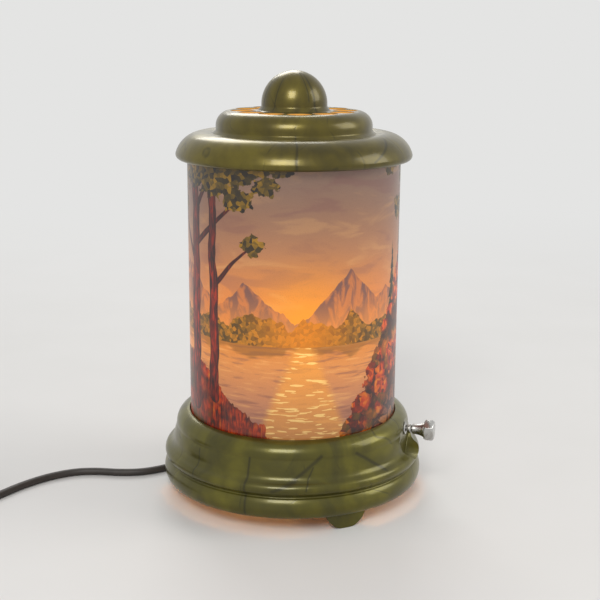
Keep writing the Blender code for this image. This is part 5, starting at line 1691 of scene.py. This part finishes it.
@dataclass
class Switch:
    """The turning switch: eyelet, stem, cam, ball collar and hexagon knob."""

    build: Builder
    start: float = 82.6
    head: float = 90.5
    end: float = 97.0
    across: float = 12.4

    def make(self) -> list[Piece]:
        """Builds the switch's pieces."""
        f, r, out = self.build.finishes, STEM_RADIUS, outward(SWITCH_ANGLE, SWITCH_HEIGHT)
        face, inner, back, low, high = SEAT + 0.3, r + 0.35, SEAT - SEAT_WALL - 1, 78.7, 82.2
        eyelet = [(4.2, face + 0.8), (4.5, face), (3.2, face), (3.2, back), (inner, back)]
        eyelet = spun(eased(eyelet + [(inner, face + 1.1), (3.4, face + 1.1)], 0.2), 48, out)
        stem, hole = rod(r, 9.8, self.head - 1, place=out), r + STEM_PLAY
        ball = [(hole, high), (2.0, high)] + arc((2.0, high), (2.0, low), 0.9, 14) + [(hole, low)]
        cam = bevelled(plate(circle(3.4, 6), 4.2, 9.5, out), 0.3)
        rows = (
            ("hole_eyelet", eyelet, f.chrome, "root", "plated_steel", "stem_eyelet"),
            ("turn_stem", stem, f.chrome, "switch", "plated_steel", "switch_stem"),
            ("turn_cam", cam, f.bakelite, "switch", "bakelite", "switch_cam"),
            ("ball_collar", spun(ball, 48, out), f.chrome, "switch", "plated_steel", "stem_collar"),
        )
        made = [self.build.keep(add_piece(*row[:3]), *row[3:]) for row in rows]
        return made + [self.build.keep(self.knob(out), "switch", "plated_steel", "switch_knob")]

    def knob(self, out: Matrix) -> Piece:
        """The waisted sleeve that flares into a hexagon head with chamfered corners."""
        chrome, low, end, start = self.build.finishes.chrome, self.head, self.end, self.start
        corner = self.across / 2 / math.cos(math.pi / 6)
        flare = [(0.0, low + 1), (4.9, low + 1), (4.9, low - 0.3)]
        flare += arc((4.9, low - 0.3), (3.4, start + 0.4), -0.5, 12) + [(3.0, start), (0.0, start)]
        knob = add_piece("hexagon_knob", spun(flare, 64, out), chrome)
        head = add_piece("head", plate(circle(corner, 6), low, end, out), chrome)
        dome = [(0.0, end), (corner - 1.5, end), (corner - 0.2, end - 1.0), (corner + 0.3, end - 1.6)]
        dome += [(corner + 0.3, low + 1.5), (corner - 0.2, low + 0.9), (corner - 1.3, low), (0.0, low)]
        combine(head, "INTERSECT", spun(dome, 96, out))
        step = head.modifiers.new("soft", "BEVEL")
        step.width, step.segments = 0.3 * MM, 2
        step.limit_method, step.angle_limit = "ANGLE", math.radians(28)
        combine(knob, "UNION", settle(head))
        return combine(knob, "DIFFERENCE", rod(STEM_RADIUS + STEM_PLAY, 80.0, low - 0.7, place=out))


@dataclass
class Cord:
    """The strain relief, the lead inside, the free cord with its coil, and the plug."""

    build: Builder
    ear: Matrix
    radius: float = 2.5
    heading: float = 155.0
    coil_centre: Point = (247.0, -30.0)
    coil_inner: float = 19.0
    coil_pitch: float = 5.45
    coil_turns: float = 8.25
    loop_points: int = 24
    relief_tail: float = 24.0
    relief_end: float = 3.1
    relief_wide: float = 4.4
    gap: float = 0.3
    plug_length: float = 25.0
    plug_width: float = 24.0
    plug_height: float = 14.4

    def beside(self, left: float, back: float, height: float) -> Vector:
        """A point given by how far it lies along the cord's heading and to the back of it."""
        a = math.radians(self.heading)
        x, y = left * math.cos(a) + back * math.sin(a), left * math.sin(a) - back * math.cos(a)
        return Vector((x, y, height))

    def steady(self, points: Sequence[Vector], spacing: float) -> list[Vector]:
        """Spreads points evenly on a smooth curve.

        Args:
            points: The route's own points, which the curve goes through.
            spacing: How far apart the new points are, about.

        Returns:
            The new points, with both ends of the route.
        """
        route = [2 * points[0] - points[1], *points, 2 * points[-1] - points[-2]]
        fine = []
        for a, b, c, d in zip(route, route[1:], route[2:], route[3:]):
            for t in (k / 24 for k in range(24)):
                spot = 2 * b + (c - a) * t + (2 * a - 5 * b + 4 * c - d) * t * t
                fine.append(0.5 * (spot + (3 * b - a - 3 * c + d) * t**3))
        fine.append(route[-2])
        length = sum((q - p).length for p, q in zip(fine, fine[1:]))
        count = max(2, round(length / spacing))
        step = length / count
        out, walked, want = [fine[0]], 0.0, step
        for p, q in zip(fine, fine[1:]):
            span = (q - p).length
            while span > 0 and walked + span >= want - 1e-6 and len(out) < count:
                out.append(p.lerp(q, (want - walked) / span))
                want += step
            walked += span
        return out + [fine[-1]]

    def ahead(self, place: Matrix) -> Vector:
        """The direction of a place's local +Z."""
        return (place.to_3x3() @ Vector((0, 0, 1))).normalized()

    def way(self, end: Vector, before: Vector) -> Vector:
        """The direction from the last point but one of a path on to its end."""
        return (end - before).normalized()

    def exit(self) -> tuple[Vector, Vector]:
        """Where the free cord leaves the strain relief, and its direction there."""
        tip = self.relief_tail + BRACKET_THICK / 2 + 2.4 + 2 * self.gap
        return self.ear @ Vector((0, 0, tip)), self.ahead(self.ear)

    def coil(self) -> list[Vector]:
        """The coil's centreline with its straight ends: in on the lower layer, out on the upper."""
        middle, climb = self.coil_turns / 2, 0.25
        count = round(self.coil_turns * self.loop_points)
        points = []
        for turns in (i * self.coil_turns / count for i in range(count + 1)):
            radius = self.coil_inner + self.coil_pitch * abs(turns - middle)
            rise = min(1.0, max(0.0, (turns - middle + climb) / (2 * climb)))
            ease = rise * rise * (3 - 2 * rise)
            a = math.tau * turns - math.pi / 2
            left = self.coil_centre[0] + radius * math.cos(a)
            back = self.coil_centre[1] + radius * math.sin(a)
            points.append(self.beside(left, back, self.radius + self.coil_pitch * ease))
        first = points[0] + self.way(points[0], points[1]) * 2 * self.radius
        return [first, *points, points[-1] + self.way(points[-1], points[-2]) * 2 * self.radius]

    def run(self) -> list[Vector]:
        """The free cord from the strain relief to the coil, along the surface."""
        (start, way), points = self.exit(), self.coil()
        away = self.way(points[0], points[1])
        end = points[0] + away * self.gap
        laid = (
            (79.0, 22.4, 4.0), (87.0, 19.8, 2.6), (97.0, 13.6, 2.5), (108.0, 9.4, 2.5), (122.0, 8.6, 2.5),
            (138.0, 10.2, 2.5), (153.0, 8.0, 2.5), (168.0, -0.6, 2.5), (181.0, -13.4, 2.5),
            (192.0, -28.6, 2.5), (202.0, -44.4, 2.5), (213.0, -58.2, 2.5), (226.0, -67.4, 2.5),
        )
        route = [start, start + way * 4, *(self.beside(*spot) for spot in laid)]
        return self.steady(route + [end + away * 14, end + away * 7, end], 4.0)

    def plug_place(self) -> Matrix:
        """Local +Z runs from the plug's cord end to its blades, local Y is up."""
        points = self.coil()
        way = self.way(points[-1], points[-2])
        back = points[-1] + way * 32
        back.z = self.plug_height / 2
        flat = Vector((way.x, way.y, 0)).normalized()
        across = Vector((flat.y, -flat.x, 0))
        turn = Matrix((across, Vector((0, 0, 1)), flat)).transposed()
        turn.col[0] = across if turn.determinant() > 0 else -across
        return Matrix.Translation(back) @ turn.to_4x4()

    def tail(self) -> list[Vector]:
        """The short end of the cord from the coil to the plug."""
        points, plug = self.coil(), self.plug_place()
        way = self.way(points[-1], points[-2])
        start, end = points[-1] + way * self.gap, plug @ Vector((0, 0, -self.gap))
        return self.steady([start, start + way * 5, start + way * 10, end - self.ahead(plug) * 8, end], 4.0)

    def relief(self) -> Outline:
        """The strain relief's section, with the ribs of its tail."""
        half, wide = BRACKET_THICK / 2 + self.gap, self.relief_wide
        tip = self.relief_tail + half + 2.4
        outline = [(0.0, tip), (self.relief_end, tip)]
        for k in range(7):
            z = tip - 2.6 * (k + 0.5)
            r = self.relief_end + (wide - self.relief_end) * (k + 0.5) * 2.6 / self.relief_tail
            outline += [(r, z + 0.5), (r - 0.45, z + 0.2), (r - 0.45, z - 0.3), (r + 0.05, z - 0.6)]
        outline += [(wide, half + 2.4), (5.6, half + 1.8), (5.6, half), (3.9, half), (3.9, -half)]
        return outline + [(5.6, -half), (5.6, -half - 1.8), (0.0, -half - 1.8)]

    def lead(self) -> list[Vector]:
        """The lead's way from the strain relief up into the nipple."""
        start, way = self.ear @ Vector((0, 0, -BRACKET_THICK / 2 - 2 * self.gap - 1.8)), self.ahead(self.ear)
        route = [start, start - way * 6, start - way * 16]
        route += [polar(EAR_ANGLE, r, z) for r, z in ((9.0, 12.0), (2.6, 13.6), (0.2, 17.5))]
        return self.steady(route + [Vector((0, 0, 22)), Vector((0, 0, 31))], 2.0)

    def make(self) -> list[Piece]:
        f = self.build.finishes
        grommet = add_piece("grommet", spun(self.relief(), 40, self.ear), f.rubber)
        lead = add_piece("lead_inside", tube(self.lead(), 2.4, 16), f.rubber)
        path = self.run() + self.coil() + self.tail()
        cord = add_piece("cord", tube(path, self.radius, 14), f.rubber)
        body, blades = self.plug()
        rows = (
            (grommet, "cord_rubber", "strain_relief"),
            (lead, "cord_rubber", "inner_lead"),
            (cord, "cord_rubber", "cord_run", "cord_coil", "cord_tail"),
            (body, "bakelite", "plug_body"),
            (blades, "brass", "plug_blade_1", "plug_blade_2"),
        )
        made = [self.build.keep(piece, "root", *rest) for piece, *rest in rows]
        length = sum((q - p).length for p, q in zip(path, path[1:])) * MM
        LOG.info("the free cord is %.3f m long", length)
        tuple(self.exit()[0] * MM)
        return made

    def plug(self) -> tuple[Piece, Piece]:
        """The plug's oval body with grip ribs, and its two blades."""
        f, place, half, end = self.build.finishes, self.plug_place(), self.plug_width / 2, self.plug_length
        shares = [(0.0, end), (0.86, end), (1.0, end - 1.6), (1.0, 19.0)]
        for z in (18.6 - 2.4 * k for k in range(4)):
            shares += [(1.0, z), (0.965, z - 0.5), (0.965, z - 1.1), (1.0, z - 1.6)]
        shares += [(0.93, 6.5), (0.80, 4.6), (0.62, 3.0), (0.48, 0.6), (0.44, 0.0), (0.0, 0.0)]
        bm = spun([(s * half, z) for s, z in shares], 64)
        bm.transform(place @ Matrix.Diagonal((1.0, self.plug_height / self.plug_width, 1.0, 1.0)))
        body, low, blades = add_piece("plug", bm, f.bakelite), end + self.gap, bmesh.new()
        for side in (-6.35, 6.35):
            one = bevelled(slab(side - 0.75, side + 0.75, 3.15, low, low + 17.0, place), 0.3)
            data = bpy.data.meshes.new("blade")
            one.to_mesh(data)
            one.free()
            blades.from_mesh(data)
            bpy.data.meshes.remove(data)
        return body, add_piece("plug_blades", blades, f.brass)


@dataclass
class Studio:
    """The floor, the lamps, the plain surroundings and the camera."""

    distance: float = 746.0
    eye: float = 308.0
    side: float = 4.5
    pitch: float = 13.46
    roll: float = 0.4
    focus: float = 1150.0
    frame_width: float = 600.0
    sensor: float = 36.0
    backdrop: Shade = (228, 228, 227)

    def make(self) -> None:
        """Builds the scene round the lamp."""
        self.camera()
        self.floor()
        self.surroundings()
        self.softbox("key", (-0.9, -1.3, 1.35), 0.75, 20.0)
        self.softbox("fill", (1.35, -0.75, 0.9), 0.9, 10.0)
        self.softbox("rim", (0.4, 1.4, 1.2), 0.8, 10.0)
        bpy.context.scene.view_settings.view_transform = "Standard"

    def placed(self, name: str, data: bpy.types.ID, place: Vector, turn: Quaternion) -> Piece:
        """Puts a camera or a lamp in the scene."""
        obj = bpy.data.objects.new(name, data)
        obj.rotation_mode = "QUATERNION"
        obj.location, obj.rotation_quaternion = place, turn
        bpy.context.scene.collection.objects.link(obj)
        return obj

    def camera(self) -> None:
        """The camera at the photograph's viewing angle."""
        away, dip = math.radians(FRONT + 180), math.radians(self.pitch)
        right = Vector((math.sin(away), -math.cos(away), 0))
        ahead = Vector((math.cos(away), math.sin(away), 0))
        place = right * self.side - ahead * self.distance + Vector((0, 0, self.eye))
        data = bpy.data.cameras.new("camera")
        data.sensor_width, data.lens = self.sensor, self.focus / self.frame_width * self.sensor
        data.dof.use_dof = False
        look = ahead * math.cos(dip) - Vector((0, 0, math.sin(dip)))
        turn = look.to_track_quat("-Z", "Y").to_matrix() @ Matrix.Rotation(math.radians(self.roll), 3, "Z")
        bpy.context.scene.camera = self.placed("camera", data, place * MM, turn.to_quaternion())

    def floor(self) -> None:
        """A plain pale floor."""
        material, pad, shader, where = blank("pale_floor")
        x, y, _ = pad.parts(where)
        pale = pad.over((214, 213, 210), (220, 219, 217), pad.noise(where, 0.01, 3.0))
        pad.fill(shader, {"Base Color": pale, "Roughness": 0.7})
        far = pad.smooth(pad.span(x, y), 260.0, 1300.0) * self.seen(pad)
        plain = pad.run("ShaderNodeEmission", {"Color": self.backdrop})
        pad.blend(far, shader, plain, "Material Output")
        bm = bmesh.new()
        bmesh.ops.create_circle(bm, cap_ends=True, segments=96, radius=30000.0)
        bm.transform(Matrix.Translation((0, 0, -0.05)))
        add_piece("floor", bm, material)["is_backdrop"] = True

    def seen(self, pad: Pad) -> Field:
        """1 for rays from the camera and through or off the object, 0 for those that light it."""
        rays = ("Is Camera Ray", "Is Glossy Ray", "Is Transmission Ray")
        return pad.most(*(pad.run("ShaderNodeLightPath", {}, ray) for ray in rays))

    def surroundings(self) -> None:
        """A plain world that lights softly and looks nearly white to the camera, metal and glass."""
        world = bpy.data.worlds.new("studio")
        world.use_nodes = True
        pad, soft = Pad(world.node_tree), world.node_tree.nodes["Background"]
        pad.fill(soft, {"Color": (236, 238, 242), "Strength": 0.55})
        back = pad.run("ShaderNodeBackground", {"Color": self.backdrop, "Strength": 1.0})
        pad.blend(self.seen(pad), soft, back, "World Output")
        bpy.context.scene.world = world

    def softbox(self, name: str, place: tuple[float, float, float], width: float, power: float) -> None:
        """A square area lamp that looks at the middle of the object."""
        data = bpy.data.lights.new(name, "AREA")
        data.shape, data.size, data.energy = "SQUARE", width, power
        data.color = (1.0, 0.98, 0.95)
        spot = Vector(place)
        self.placed(name, data, spot, (Vector((0, 0, 0.14)) - spot).to_track_quat("-Z", "Y"))


def corners() -> list[list[float]]:
    """The shown object's lowest and highest corner, as plain numbers."""
    return [[float(value) for value in corner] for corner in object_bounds()]


def main() -> None:
    """Builds the lamp's pieces in order and reports them."""
    logging.basicConfig(level=logging.INFO, format="%(message)s")
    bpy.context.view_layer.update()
    Studio().make()
    build = Builder(Finishes(Groups()), RingTree())
    holder = SocketAndBulb(build)
    parts = (Cord(build, holder.ear()), BaseMoulding(build), LidMoulding(build), Sleeve(build))
    made = [piece for part in (*parts, Rotor(build), holder, Switch(build)) for piece in part.make()]
    LOG.info("%d pieces, made for %d packed solids", len(made), len(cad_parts))


if __name__ == "__main__":
    main()
